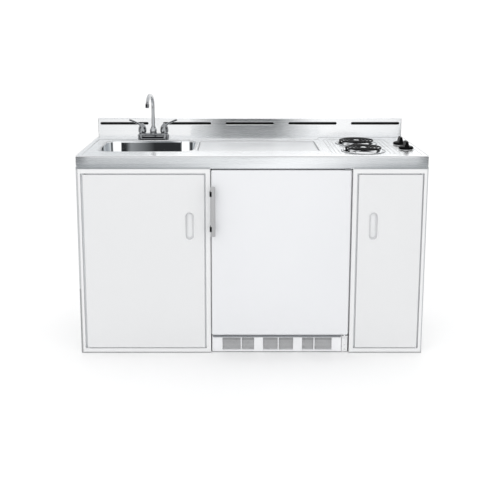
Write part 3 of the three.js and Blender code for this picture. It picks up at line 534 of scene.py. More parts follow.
# near-black stand-in for shade: deep in the backsplash's slot pockets, on the basket's floor where its slots are, and
# in the screws' cross recesses
SHADE_BLACK = plastic("painted_shade_inside", (0.004, 0.004, 0.004), 0.8)
CERAMIC = plastic("socket_ceramic", (0.80, 0.79, 0.76), 0.5)
CLEAR = Mat("clear_pane", (0.93, 0.97, 0.97), 0.04, 0.0, Transmission_Weight=1.0, IOR=1.45)
CLEAR.bump(CLEAR.noise((8, 8, 8), 1), 0.02, 0.002)
CLEAR = CLEAR.m
FROST = Mat("clear_drawer", (0.90, 0.95, 0.96), 0.12, 0.0, Transmission_Weight=0.9, IOR=1.3)
FROST.bump(FROST.noise((30, 30, 30), 2), 0.03, 0.001)
FROST = FROST.m

# ------------------------------------------------------------------ countertop
RIM, DECK, APRON = 895.0, 892.0, 838.8


def edges_of(poly, radii, off, n=6):
    """Rectilinear outline, anticlockwise, moved inwards by off, with rounded corners."""
    out = []
    k = len(poly)
    for i in range(k):
        a, b, c = Vector(poly[i - 1]), Vector(poly[i]), Vector(poly[(i + 1) % k])
        d0, d1 = (b - a).normalized(), (c - b).normalized()
        n0, n1 = Vector((-d0.y, d0.x)), Vector((-d1.y, d1.x))
        p = b + (n0 + n1) * off
        turn = 1 if d0.x * d1.y - d0.y * d1.x > 0 else -1
        r = max(radii[i] - off * turn, 0.6)
        centre = p - d0 * r + n0 * turn * r
        start = (p - d0 * r) - centre
        a0 = math.atan2(start.y, start.x)
        for s in range(n + 1):
            t = a0 + turn * math.pi / 2 * s / n
            out.append((centre.x + r * math.cos(t), centre.y + r * math.sin(t)))
    return out


def rim_ring(o, r0=6.0, back=614.7, n=5):
    """Open outline from the back left corner round the front to the back right corner, o inside the edge."""
    r = max(r0 - o, 0.6)
    pts = [(-762 + o, back), (-762 + o, 420), (-762 + o, 220)]
    for s in range(n + 1):
        a = math.pi + (math.pi / 2) * s / n
        pts.append((-762 + o + r + r * math.cos(a), o + r + r * math.sin(a)))
    pts += [(x, o) for x in range(-700, 701, 100)]
    for s in range(n + 1):
        a = 1.5 * math.pi + (math.pi / 2) * s / n
        pts.append((762 - o - r + r * math.cos(a), o + r + r * math.sin(a)))
    pts += [(762 - o, 220), (762 - o, 420), (762 - o, back)]
    return pts


HOBS = (507.0, {"front": 190.0, "rear": 414.0})
KNOBS = (705.0, {"front": 211.0, "rear": 347.0})
TAP = (-477.5, 540.0, 54.0)
SINK = (-691.0, -263.0, 139.0, 481.0, 66.0)


def build_top():
    loops, heights, holes, hole_heights = [], [], [], []
    roll = 7.0
    first = rim_ring(roll)
    back = [(x, 614.7) for x in range(700, -701, -100)]
    loops.append(first + back)
    heights.append([RIM] * (len(first) + len(back)))

    def ring(pts, z):
        loops.append(pts)
        heights.append([z] * len(pts))

    guard = rim_ring(roll + 2.5, back=612.2)
    ring(guard + [(x, 612.2) for x in range(700, -701, -200)], RIM)
    deck = [(-745, 24), (745, 24), (745, 588), (334, 588), (334, 520), (-745, 520)]
    rad = [30, 30, 30, 30, 12, 30]
    for off, z in ((-4, RIM), (-2, RIM), (0, 894.75), (1.4, 894.1), (4.4, 892.7), (6, 892.15), (8, DECK), (10, DECK)):
        ring(edges_of(deck, rad, off), z)
    work = [(-245, 165), (310, 165), (310, 474), (-245, 474)]
    for off, z in ((-4, DECK), (-2, DECK), (0, 891.8), (1.1, 891.0), (4, 886.2), (5.4, 884.5), (7.4, 884.0), (10, 884.0)):
        ring(edges_of(work, [12] * 4, off), z)
    hob = (353, 660, 66, 548, 58)
    # the hob's sides step down in three soft terraces
    steps = [(-0.10, DECK), (-0.05, DECK)]
    for k in range(3):
        top_z, t0 = DECK - 4 * k / 3, 0.42 * k
        steps += [(t0, top_z - 0.02), (t0 + 0.03, top_z - 0.2), (t0 + 0.13, top_z - 1.13), (t0 + 0.16, top_z - 4 / 3 + 0.02), (t0 + 0.19, top_z - 4 / 3)]
    for t, z in steps:
        ring(rr(hob[0] + 45 * t, hob[1] - 45 * t, hob[2] + 20 * t, hob[3] - 20 * t, hob[4] - 20 * t, 8), z)
    x0, x1, y0, y1, r = SINK
    for o, z in ((12, DECK), (10, DECK), (9, 892.25), (7.8, 893.1), (6.6, 893.55), (4.4, 893.7), (2.6, 893.3), (1.2, 892.2), (0.3, 890.4)):
        ring(rr(x0 - o, x1 + o, y0 - o, y1 + o, r + o, 10), z)
    holes.append(rr(x0, x1, y0, y1, r, 10))
    hole_heights.append(888.6)
    for y in HOBS[1].values():
        for o, z in ((99, 888.0), (97, 888.0), (95, 887.7), (93.6, 886.8)):
            ring(circle(HOBS[0], y, o, 56), z)
        holes.append(circle(HOBS[0], y, 93, 56))
        hole_heights.append(885.0)
    for y in KNOBS[1].values():
        ring(circle(KNOBS[0], y, 9, 20), DECK)
        holes.append(circle(KNOBS[0], y, 6.2, 20))
        hole_heights.append(DECK)
    for s in (-1, 1):
        ring(circle(TAP[0] + s * TAP[2], TAP[1], 18, 20), RIM)
        holes.append(circle(TAP[0] + s * TAP[2], TAP[1], 14.2, 20))
        hole_heights.append(RIM)
    flat_z = [z for h in heights for z in h]
    for h, z in zip(holes, hole_heights):
        flat_z += [z] * len(h)
    v, f, ov = triangulate(loops, holes)
    verts = []
    where = {}
    for i, p in enumerate(v):
        z = flat_z[ov[i][0]] if ov[i] else DECK
        verts.append((p[0], p[1], z))
        for k in ov[i]:
            where[k] = i
    faces = [tuple(t) for t in f]
    # rolled edge, apron and its return, joined on to the first ring
    profile = [(roll - roll * math.sin(a), RIM - roll + roll * math.cos(a)) for a in [math.pi / 2 * s / 7 for s in range(1, 8)]]
    profile += [(0, 886), (0, 866), (0, 843), (0.35, 841), (1.2, 839.6), (2.6, APRON), (5, APRON), (16, APRON), (17, 839.4), (17, 846)]
    last = [where[i] for i in range(len(first))]
    for o, z in profile:
        pts = rim_ring(o)
        ids = list(range(len(verts), len(verts) + len(pts)))
        verts += [(p[0], p[1], z) for p in pts]
        for i in range(len(pts) - 1):
            faces.append((last[i], ids[i], ids[i + 1], last[i + 1]))
        last = ids
    s = Shape()
    s.add((verts, faces))
    return s


top = put("countertop_sheet", build_top(), STEEL, "unit", "countertop", sharp=60, solid=1.2)

# ------------------------------------------------------------------ backsplash
def build_splash():
    y0, y1 = 615.0, 637.0
    s = Shape()
    x0, x1, z0, z1 = -762, 762, 838.6, 985
    r = 2.2
    outer = rr(x0 + r, x1 - r, z0 + r, z1 - r, 0.8, 2, 1, 1)
    slots = [rr(i * 315 - 121, i * 315 + 121, 953, 966, 6.4, 8) for i in range(-2, 3)]
    lips = [rr(i * 315 - 122.6, i * 315 + 122.6, 951.4, 967.6, 8.0, 8) for i in range(-2, 3)]
    guards = [rr(i * 315 - 124, i * 315 + 124, 950, 969, 9.4, 8) for i in range(-2, 3)]
    guards.append(rr(x0 + r + 1.6, x1 - r - 1.6, z0 + r + 1.6, z1 - r - 1.6, 0.8, 2, 1, 1))
    lips += guards
    v, f, ov = triangulate([outer, *lips], slots)
    ys = [y0] * (len(outer) + sum(len(q) for q in lips)) + [y0 + 1.2] * sum(len(q) for q in slots)
    verts = [(p[0], ys[ov[i][0]] if ov[i] else y0, p[1]) for i, p in enumerate(v)]
    faces = [tuple(t) for t in f]
    where = {k: i for i in range(len(v)) for k in ov[i]}
    mats = [0] * len(faces)
    # rounded edge, sides and back
    last = [where[i] for i in range(len(outer))]
    for o, y in ((r * 0.6, y0 + 0.12), (r * 0.25, y0 + 0.6), (0.0, y0 + r), (0.0, y1 - 1), (0.5, y1)):
        pts = rr(x0 + o, x1 - o, z0 + o, z1 - o, 0.8 + r - o, 2, 1, 1)
        ids = list(range(len(verts), len(verts) + len(pts)))
        verts += [(p[0], y, p[1]) for p in pts]
        n = len(pts)
        faces += [(last[i], last[(i + 1) % n], ids[(i + 1) % n], ids[i]) for i in range(n)]
        mats += [0] * n
        last = ids
    faces.append(tuple(last))
    mats.append(0)
    # slot pockets, their deeper walls and backs near-black: painted shade
    base = len(outer) + sum(len(q) for q in lips)
    for k, q in enumerate(slots):
        ids0 = [where[base + i] for i in range(len(q))]
        base += len(q)
        for y, m in ((y0 + 2.4, 0), (y1 - 3, 1)):
            ids = list(range(len(verts), len(verts) + len(q)))
            verts += [(p[0], y, p[1]) for p in q]
            n = len(q)
            faces += [(ids0[i], ids0[(i + 1) % n], ids[(i + 1) % n], ids[i]) for i in range(n)]
            mats += [m] * n
            ids0 = ids
        faces.append(tuple(ids0))
        mats.append(1)
    s.v, s.f, s.m = verts, faces, mats
    return s


put("backsplash_sheet", build_splash(), [SPLASH, SHADE_BLACK], "unit", "backsplash", sharp=50)

# ------------------------------------------------------------------ sink
F0 = 742.0
DRAIN = (-477.0, 318.0)


def bowl_ring(o, z, toward=0.0, radius=60.0):
    x0, x1, y0, y1, r = SINK
    pts = rr(x0 - o, x1 + o, y0 - o, y1 + o, max(r + o, 12), 10, 6, 5)
    if toward:
        out = []
        for p in pts:
            a = math.atan2(p[1] - DRAIN[1], p[0] - DRAIN[0])
            q = (DRAIN[0] + radius * math.cos(a), DRAIN[1] + radius * math.sin(a))
            out.append((p[0] + (q[0] - p[0]) * toward, p[1] + (q[1] - p[1]) * toward))
        pts = out
    return at_z(pts, z)


rings = [bowl_ring(9, 889.6), bowl_ring(1.2, 889.6), bowl_ring(0.3, 889.4), bowl_ring(-0.15, 888.8), bowl_ring(-0.3, 888), bowl_ring(-0.8, 884), bowl_ring(-1.6, 870), bowl_ring(-3.4, 830), bowl_ring(-5.2, F0 + 46)]
wall, floor_r = 5.6, 30.0
for s in range(1, 9):
    a = math.pi / 2 * s / 8
    rings.append(bowl_ring(-(wall + floor_r * (1 - math.cos(a))), F0 + 5 + floor_r * (1 - math.sin(a)) + 4 * (1 - s / 8)))
for t, z in ((0.12, 4.6), (0.3, 3.9), (0.5, 3.1), (0.7, 2.3), (0.86, 1.5), (0.95, 0.9), (0.985, 0.2), (1.0, -1.2)):
    rings.append(bowl_ring(-(wall + floor_r), F0 + z, t, 46.5))
put("sink_bowl_pressing", loft(rings, caps=False), BOWL, "unit", "sink_bowl", sharp=50, solid=1.0, flip=False)

f = F0
put("sink_drain_cup", lathe(fillet([(57, f + 1.0), (57, f + 1.9), (52, f + 3.0), (44, f + 2.2), (40, f - 4), (38, f - 38), (20, f - 44), (16.5, f - 46), (16.5, f - 142), (19, f - 142), (19, f - 48), (40.5, f - 41), (43, f - 12), (58, f - 12), (58, f - 3), (45.4, f - 3), (45.4, f + 0.6), (57, f + 1.0)], {2: 1.5, 3: 2, 5: 6, 6: 3, 11: 5}), DRAIN[0], DRAIN[1], 56), CHROME, "unit", "sink_drain")
basket = Shape()
basket.add(lathe(fillet([(39, f + 3.6), (39, f + 4.6), (35.4, f + 4.8), (33.6, f - 26), (0.0, f - 28), (0.0, f - 30), (34.8, f - 28), (36.6, f + 3.4), (39, f + 3.6)], {2: 1.2, 3: 5}), DRAIN[0], DRAIN[1], 56))
basket.add(lathe(fillet([(0, f - 29), (3, f - 29), (3, f - 6), (7, f - 4), (8.5, f - 1), (6, f + 2), (0, f + 3)], {2: 1, 3: 1, 4: 2, 5: 2}), DRAIN[0], DRAIN[1], 28))
put("strainer_basket_cup", basket, CHROME, "basket", "strainer_basket")
# a ring of small near-black shapes on the basket's floor where its drain slots are: painted shade, no holes are cut
slot_shades = Shape()
for k in range(12):
    a = 2 * math.pi * k / 12
    c = (DRAIN[0] + 21 * math.cos(a), DRAIN[1] + 21 * math.sin(a))
    ring0 = []
    for p in rr(-7, 7, -1.6, 1.6, 1.5, 3):
        ring0.append((c[0] + p[0] * math.cos(a) - p[1] * math.sin(a), c[1] + p[0] * math.sin(a) + p[1] * math.cos(a)))
    slot_shades.add(loft([at_z(ring0, f - 28.2), at_z(ring0, f - 27.2)]))
put("strainer_basket_painted_slot_shade", slot_shades, SHADE_BLACK, "basket")

# ------------------------------------------------------------------ faucet
def stadium_ring(o, z, half=77.0, w=27.0):
    return at_z(rr(TAP[0] - half + o, TAP[0] + half - o, TAP[1] - w + o, TAP[1] + w - o, w - o - 0.05, 14, 6, 1), z)


Z = 895.3
body = Shape()
body.add(loft([stadium_ring(0.6, Z), stadium_ring(0, Z + 0.8), stadium_ring(0, Z + 7.5), stadium_ring(0.5, Z + 9.6), stadium_ring(1.8, Z + 11.6), stadium_ring(4, Z + 14), stadium_ring(7, Z + 16), stadium_ring(11, Z + 17.4), stadium_ring(16, Z + 18.2)]))
def bridge_ring(o, z):
    return at_z(rr(TAP[0] - TAP[2] + o, TAP[0] + TAP[2] - o, TAP[1] - 19 + o, TAP[1] + 19 - o, 8 - o * 0.6, 8, 6, 1), z)


body.add(loft([bridge_ring(0, Z + 8), bridge_ring(0, Z + 19), bridge_ring(0.4, Z + 21), bridge_ring(1.4, Z + 23.4), bridge_ring(2.8, Z + 24.9), bridge_ring(4.6, Z + 25.5)]))
for s in (-1, 1):
    body.add(lathe(fillet([(0, Z + 10), (24.5, Z + 10), (23.6, Z + 17), (18.6, Z + 21.5), (17.6, Z + 26), (0, Z + 26)], {2: 5, 3: 4, 4: 1}), TAP[0] + s * TAP[2], TAP[1], 48))
    body.add(lathe([(0, 846), (10, 846), (10, Z + 4), (0, Z + 4)], TAP[0] + s * TAP[2], TAP[1], 28))
    for zz in range(850, 886, 4):
        body.add(lathe([(9.6, zz), (10.8, zz + 1), (10.8, zz + 1.6), (9.6, zz + 2.6), (9.6, zz)], TAP[0] + s * TAP[2], TAP[1], 24))
    body.add(lathe([(9, 878), (21, 878), (21, 886), (9, 886), (9, 878)], TAP[0] + s * TAP[2], TAP[1], 6))
body.add(lathe(fillet([(0, Z + 10), (21, Z + 10), (19, Z + 20), (17.2, Z + 26), (17.2, Z + 30.8), (0, Z + 30.8)], {2: 6, 3: 3, 4: 1}), TAP[0], TAP[1], 48))
put("faucet_body_casting", body, BODY_CHROME_PAINTED_DARK, "unit", "faucet_body", sharp=40)


def local(made, deg):
    """From the faucet's own axis to its place, turned by deg."""
    return moved(turned_about(made, "Z", deg), (TAP[0], TAP[1], 0))


spout = Shape()
path = [(0, 0, 930 + 6 * i) for i in range(20)]
zc, R = 1053.0, 60.0
path = [(0, 0, z) for z in range(935, 1053, 9)] + [(0, -R * (1 - math.cos(math.radians(a))), zc + R * math.sin(math.radians(a))) for a in [165 * i / 34 for i in range(35)]]
spout.add(local(sweep(path, 8.4, 24), -7.5))
tip_a = math.radians(165)
end = Vector((0, -R * (1 - math.cos(tip_a)), zc + R * math.sin(tip_a)))
down = Vector((0, -math.sin(tip_a), math.cos(tip_a))).normalized()
aer = lathe(fillet([(0, -8), (9.2, -8), (10.2, -6.6), (10.2, 4), (9.8, 5), (9.8, 9), (9.2, 10.5), (7.8, 10.5), (7.8, 8.6), (0, 8.6)], {2: 0.6, 5: 0.4}), 0, 0, 36)
q = Vector((0, 0, 1)).rotation_difference(Vector((0, down.y, down.z)))
aer = ([tuple(q @ Vector(p) + end) for p in aer[0]], aer[1])
spout.add(local(aer, -7.5))
spout.add(local(lathe(fillet([(0, Z + 31.2), (16.4, Z + 31.2), (17.4, Z + 36), (16.6, Z + 45), (12.6, Z + 51), (11.6, Z + 57), (9.4, Z + 58.5), (0, Z + 58.5)], {2: 4, 3: 4, 4: 5, 5: 1, 6: 1}), 0, 0, 44), -7.5))
spout.add(local(lathe([(8, Z + 60), (10, Z + 60.4), (10.4, Z + 61.6), (10, Z + 62.8), (8, Z + 63.2), (8, Z + 60)], 0, 0, 36), -7.5))
put("faucet_spout_tube", spout, CHROME, "spout", "faucet_spout", sharp=40)

for name, body_name, side in (("hot_handle", "hot_lever", -1), ("cold_handle", "cold_lever", 1)):
    h = Shape()
    hub = lathe(fillet([(0, Z + 26.4), (16.6, Z + 26.4), (17.6, Z + 28), (20.2, Z + 34), (20.4, Z + 45), (17.8, Z + 57), (13.2, Z + 65), (8, Z + 70.5), (3.2, Z + 72.3), (0, Z + 72.5)], {2: 1.5, 3: 5, 4: 7, 5: 8, 6: 8, 7: 4, 8: 2}), 0, 0, 44)
    spine = catmull([(3, 0, Z + 58), (-14, 0, Z + 69), (-32, 0, Z + 79), (-50, 0, Z + 87), (-60, 0, Z + 90.4), (-64.5, 0, Z + 91)], 6)
    width = catmull([(0, 8.5, 6), (1, 7.4, 5.6), (2, 7.2, 4.6), (3, 9.4, 5.0), (4, 8.8, 5.2), (5, 4.6, 2.6)], 6)
    lever = sweep(spine, 1, 22, section=lambda i: (width[i][1], width[i][2]))
    cap = lathe(fillet([(0, Z + 71), (6.2, Z + 71), (6.4, Z + 73.2), (5.4, Z + 74), (0, Z + 74.2)], {2: 0.6, 3: 0.8}), 0, 0, 30)
    for made in (hub, lever, cap):
        if side > 0:
            made = turned_about(made, "Z", 180)
        h.add(moved(made, (TAP[0] + side * TAP[2], TAP[1], 0)))
    put(name + "_casting", h, LEVER_CHROME_PAINTED_DARK, body_name, name, sharp=45)

# ------------------------------------------------------------------ hob
def burner(which):
    x, y = HOBS[0], HOBS[1][which]
    base = 888.0
    prof = fillet([(97.6, base + 0.5), (97.8, base + 2.0), (95.4, base + 3.2), (91, base + 2.6), (87.5, base - 2), (84, base - 8), (76, base - 18), (62, base - 24), (48, base - 27), (22, base - 28.2)], {1: 0.8, 2: 1.4, 3: 1.6, 4: 3, 6: 8, 7: 8, 8: 8}, 4)
    n = 72
    v, fc = lathe(prof, x, y, n)
    keep = []
    for q in fc:
        c = [sum(v[i][k] for i in q) / len(q) for k in range(3)]
        if x - 90 < c[0] < x - 58 and abs(c[1] - y) < 24 and base - 26 < c[2] < base - 1.5:
            continue
        keep.append(q)
    # only keep used vertices
    used = sorted({i for q in keep for i in q})
    idx = {k: i for i, k in enumerate(used)}
    pan = ([v[i] for i in used], [tuple(idx[i] for i in q) for q in keep])
    o = put("drip_pan_" + which + "_pressing", pan, PAN, "unit", "drip_pan_" + which, sharp=60, solid=0.8)
    # dark ring under the pan's rim: painted contact shadow where the pan sits, not a seal
    put("drip_pan_" + which + "_seal", lathe([(98.2, base + 0.15), (99.6, base + 0.15), (99.6, base + 2.3), (98.2, base + 2.5), (98.2, base + 0.15)], x, y, 72), SHADOW_PAINT_DARK, "unit", sharp=30)
    # coil
    zc = 903.0
    s = Shape()
    turns, r0, r1 = 4.0, 20.0, 78.0
    steps = 260
    path = []
    for i in range(steps + 1):
        t = i / steps
        a = math.pi + t * turns * 2 * math.pi
        r = min(r0 + (r1 - r0) * t / 0.88, r1)
        path.append((x + r * math.cos(a), y + r * math.sin(a), zc))
    # the outer end runs down to its legs
    s.add(sweep(path, 1, 14, section=lambda i: (4.2, 3.7)), 0)
    for side in (1, -1):
        leg = catmull([(x - 76, y + side * 1.5, zc - 0.6), (x - 77, y + side * 9, zc - 1.5), (x - 76.5, y + side * 12, zc - 8), (x - 76, y + side * 12, 884), (x - 77, y + side * 12, 875), (x - 82, y + side * 12, 872.3), (x - 94, y + side * 12, 872), (x - 106, y + side * 12, 872)], 6)
        s.add(sweep(leg, 3.0, 12), 0)
    bars = Shape()
    for deg in (0, 120, 240):
        a = math.radians(deg)
        b = box(12, 90, -1.1, 1.1, zc - 11, zc - 3.8)
        b = ([(x + p[0] * math.cos(a) - p[1] * math.sin(a), y + p[0] * math.sin(a) + p[1] * math.cos(a), p[2]) for p in b[0]], b[1])
        bars.add(b)
        b = box(86, 95, -1.1, 1.1, base + 3.3, base + 8.4)
        b = ([(x + p[0] * math.cos(a) - p[1] * math.sin(a), y + p[0] * math.sin(a) + p[1] * math.cos(a), p[2]) for p in b[0]], b[1])
        bars.add(b)
    put("coil_" + which + "_tube", s, ELEMENT, which + "_coil", "coil_" + which, sharp=50)
    put("coil_" + which + "_spider", bars, PAN, which + "_coil", bevel=0.4, seg=1)
    put("coil_" + which + "_medallion", lathe(fillet([(0, zc - 6), (12.6, zc - 6), (13.8, zc - 1), (13.8, zc + 1.4), (11, zc + 2.7), (4, zc + 2.2), (0, zc + 2.0)], {2: 1, 3: 1, 4: 2, 5: 2}), x, y, 36), PAN, which + "_coil")
    dress("coil_socket_" + which, CERAMIC, 0.8)
    dress("switch_" + which, BLACK, 1.0)
    dress("switch_shaft_" + which, ZINC)
    # knob
    kx, ky, kz = KNOBS[0], KNOBS[1][which], 895.0
    k = Shape()
    k.add(lathe(fillet([(0, kz + 0.2), (32.6, kz + 0.2), (33, kz + 1.2), (32.9, kz + 5.6), (31.0, kz + 9.4), (25.4, kz + 11.8), (16, kz + 12.8), (0, kz + 13.0)], {1: 0.4, 2: 0.6, 3: 1.6, 4: 2, 5: 3}), kx, ky, 64))

    def slab(w, l, z, tilt=0.0):
        return at_z(rr(kx - w, kx + w, ky - l, ky + l, min(w, l) * 0.92, 7, 1, 4), z)

    k.add(loft([slab(13.4, 30.4, kz + 7), slab(11.6, 29.6, kz + 12), slab(9.4, 29.0, kz + 17), slab(7.6, 28.2, kz + 23), slab(6.4, 27.4, kz + 29), slab(5.6, 26.6, kz + 32.2), slab(4.4, 25.0, kz + 34.2), slab(2.8, 22.6, kz + 35)]))
    put("knob_" + which + "_moulding", k, BLACK, which + "_knob", "knob_" + which, sharp=40)
    put("knob_" + which + "_bezel", lathe(fillet([(34.0, 892.15), (37.6, 892.15), (37.6, 892.9), (36.6, 893.6), (34.8, 893.8), (34.0, 893.2), (34.0, 892.15)], {2: 0.3, 3: 0.4, 4: 0.3}), kx, ky, 64), PAN, "unit")


burner("front")
burner("rear")

# ------------------------------------------------------------------ cabinets
CT = 838.3
SIDES = {
    "left": dict(x0=-762, x1=-181, o0=-744, o1=-201, d0=-733, d1=-208, pivot=-725, pull=-272, s=("left_outer_side", "left_inner_side")),
    "right": dict(x0=437, x1=762, o0=455, o1=746, d0=463.5, d1=738, pivot=730, pull=530.5, s=("right_inner_side", "right_outer_side")),
}


def screw(shape, x, y, z, axis="y", sign=-1, r=3.4):
    """Pan head facing along the axis, its cross recess drawn as near-black bars of painted shade."""
    prof = fillet([(0, 0), (r, 0), (r, 0.5), (r * 0.72, 1.5), (0, 1.9)], {2: 0.3, 3: 0.8})
    v, fc = lathe(prof, 0, 0, 18)
    v2, f2 = box(-r * 0.6, r * 0.6, -0.35, 0.35, 1.2, 1.96)
    v3, f3 = box(-0.35, 0.35, -r * 0.6, r * 0.6, 1.2, 1.96)
    for k, (vv, ff) in enumerate(((v, fc), (v2, f2), (v3, f3))):
        out = []
        for p in vv:
            if axis == "y":
                out.append((x + p[0], y + sign * p[2], z + p[1]))
            elif axis == "x":
                out.append((x + sign * p[2], y + p[0], z + p[1]))
            else:
                out.append((x + p[0], y + p[1], z + sign * p[2]))
        shape.add((out, ff), 0 if k == 0 else 1)


for side, C in SIDES.items():
    y0 = 19.8
    put(C["s"][0] + "_sheet", box(C["x0"], C["x0"] + 16, y0, 612, 0, CT), CAB, "unit", C["s"][0], bevel=1.0)
    put(C["s"][1] + "_sheet", box(C["x1"] - 16, C["x1"], y0, 612, 0, CT), CAB, "unit", C["s"][1], bevel=1.0)
    put(side + "_floor_sheet", box(C["x0"] + 16.3, C["x1"] - 16.3, y0, 596.7, 4, 19.5), CAB, "unit", side + "_floor_panel", bevel=0.8)
    put(side + "_back_sheet", box(C["x0"] + 16.3, C["x1"] - 16.3, 597, 609, 4, CT), CAB, "unit", side + "_back_panel", bevel=0.8)
    outer = rr(C["x0"], C["x1"], 0, CT, 1.2, 3)
    hole = rr(C["o0"], C["o1"], 20, 819, 1.6, 3)
    put(side + "_frame_sheet", plate(outer, [hole], "y", 1.5, 19.5), CAB_FRAME, "unit", side + "_face_frame", bevel=1.3, seg=3)
    # door with the hole for its pull
    px, pz, pw, ph = C["pull"], 585.0, 45.0, 131.0
    stad = lambda o: rr(px - pw / 2 - o, px + pw / 2 + o, pz - ph / 2 - o, pz + ph / 2 + o, pw / 2 + o - 0.1, 12)
    door = Shape()
    v, fc = plate(rr(C["d0"], C["d1"], 25, 813, 1.0, 3), [stad(-3)], "y", 0.0, 18.0)
    door.add((v, fc))
    put(side + "_door_sheet", door, CAB, side + "_door", side + "_door_panel", bevel=2.0, seg=4)
    pull = [(-1.0, -0.35, 1), (0, -0.35, 1), (0.1, -0.7, 1), (-0.4, -1.3, 1), (-1.6, -1.6, 1), (-3.2, -1.5, 1), (-4.6, -0.9, 1), (-5.4, 0.4, 1), (-5.7, 2.5, 1), (-6.2, 6.5, 1), (-7.2, 9.4, 1), (-9.4, 11.2, 1), (-13, 11.9, 1)]
    rings = [at_y(stad(o), y) for o, y, _ in pull]
    back = [(-13, 13.9), (-4.2, 13.9), (-3.6, 13.2), (-3.5, -0.35), (-1.0, -0.35)]
    p = Shape()
    v, fc = loft(rings[:6], caps=False)
    p.add((v, fc), 0)
    # the cup's inner walls take the darker copy of the pull's plastic: painted shade in the recess
    v, fc = loft(rings[5:], caps=False)
    p.add((v, fc), 1)
    v2, f2 = loft([at_y(stad(o), y) for o, y in back], caps=False)
    p.add((v2, f2))
    # floor of the cup, crowned a little where the fingers press
    cupf = [at_y(stad(o), y) for o, y in ((-13, 11.9), (-16, 11.6), (-19, 11.4), (-21.8, 11.3))]
    v3, f3 = loft(cupf, caps=False)
    f3.append(tuple(range(3 * len(cupf[0]), 4 * len(cupf[0]))))
    p.add((v3, f3))
    capb = [at_y(stad(-13), 13.9)]
    p.add((capb[0], [tuple(range(len(capb[0])))]))
    put(side + "_pull_moulding", p, [PULL_P, PULL_WALL_SHADE], side + "_door", side + "_door_pull", sharp=50, weld=True)
    for end in ("lower", "upper"):
        dress(side + "_door_pin_" + end, ZINC)
    # stop flange round the opening, behind the door's edges; its enamel's faint glow is painted light in the gaps
    stop = plate(rr(C["o0"] - 1, C["o1"] + 1, 19, 820, 1.5, 3), [rr(C["o0"] + 17, C["o1"] - 17, 38, 800, 2, 3)], "y", 22.6, 24.0)
    put(side + "_door_stop", stop, STOP_PAINTED_GLOW, "unit", bevel=0.4, seg=1)
    # screws in the corners inside and at the back
    sc = Shape()
    for xx in (C["x0"] + 40, (C["x0"] + C["x1"]) / 2, C["x1"] - 40):
        for zz in (30, 430, 815):
            screw(sc, xx, 609.0, zz, "y", 1)
    put(side + "_back_screws", sc, [ZINC, SHADE_BLACK], "unit", sharp=40)
    # catch plate on the door's back
    cx = C["d1"] - 14 if side == "left" else C["d0"] + 14
    ca = Shape().add(box(cx - 7, cx + 7, 18.0, 19.2, 700, 740))
    put(side + "_catch_plate", ca, ZINC, side + "_door", bevel=0.4)

# ------------------------------------------------------------------ refrigerator
FR = dict(x0=-174, x1=428, y0=33.5, y1=590, z0=18, z1=832)
dress("fridge_case", FRIDGE_W, 0.8)
CV = dict(x0=-140, x1=394, y1=550, z0=100, z1=797)


def liner():
    o = 1.8
    X0, X1, Z0, Z1 = FR["x0"] + o, FR["x1"] - o, FR["z0"] + o, FR["z1"] - o

    def inner(off, y, low=CV["z0"], r=18):
        return at_y(rr(CV["x0"] - off, CV["x1"] + off, low - off, CV["z1"] + off, max(r + off, 2), 6), y)

    rings = [inner(-6, 549.4, 262, 14), inner(-1.6, 548.6, 262, 17), inner(0, 545, 262, 18)]
    rings += [inner(0, 404, 262, 18), inner(0, 401.5, 259, 18), inner(0, 400.3, 254, 18), inner(0, 399.8, 246), inner(0, 399.5, 108), inner(0, 398.6, 103.5), inner(0, 396, 101), inner(0, 392, 100)]
    rings += [inner(0, 60), inner(0, 40), inner(1.2, 36), inner(4, 33.9), inner(8, 33.5)]
    rings += [at_y(rr(X0 + 2, X1 - 2, Z0 + 2, Z1 - 2, 3, 6), 33.5), at_y(rr(X0, X1, Z0, Z1, 3, 6), 35.5)]
    rings += [at_y(rr(X0, X1, Z0, Z1, 3, 6), 428), at_y(rr(X0, X1, 233.4, Z1, 3, 6), 430.4), at_y(rr(X0, X1, 233.4, Z1, 3, 6), 588.2)]
    return loft(rings)


put("fridge_liner_moulding", liner(), LINER, "unit", "fridge_liner", sharp=40)
ledges = Shape()
for z, y0 in ((479.5, 150), (659, 180)):
    for xa, xb in ((CV["x0"] - 3, CV["x0"] + 8), (CV["x1"] - 8, CV["x1"] + 3)):
        ledges.add(box(xa, xb, y0, 540, z - 5, z))
put("fridge_liner_ledges", ledges, LINER, "unit", bevel=1.4, seg=3)

# shelf: clear pane with a white trim along its front
put("fridge_shelf_pane", box(-138.6, 392.6, 152, 545, 480.2, 484.6), CLEAR, "unit", "fridge_shelf", bevel=0.8)
trim = Shape()
trim.add(loft([at_y([(x, z) for x, z in rr(-138.8, 392.8, 479.8, 485.2, 2, 4)], y) for y in (146.5, 152.5)]))
put("fridge_shelf_trim", trim, WHITE_P, "unit", bevel=0.8)
put("crisper_cover_pane", box(-138.6, 392.6, 180, 545, 262.5, 266.8), CLEAR, "unit", "crisper_cover", bevel=0.8)
put("crisper_cover_trim", box(-138.8, 392.8, 176, 182.5, 262.0, 268.0), WHITE_P, "unit", bevel=1.2, seg=3)


def drawer():
    def ring(o, z, r=14):
        return at_z(rr(-112 + o, 366 - o, 190 + o, 388 - o, r, 6, 4, 3), z)
    outer = [ring(10, 100.4), ring(4, 101.6), ring(1.6, 106), ring(0.6, 150), ring(0, 244), ring(0, 249)]
    inner = [ring(0.8, 250), ring(3, 250), ring(3.4, 247), ring(4.2, 150), ring(5.2, 108), ring(8, 104.4), ring(13, 103.4)]
    return loft(outer + inner)


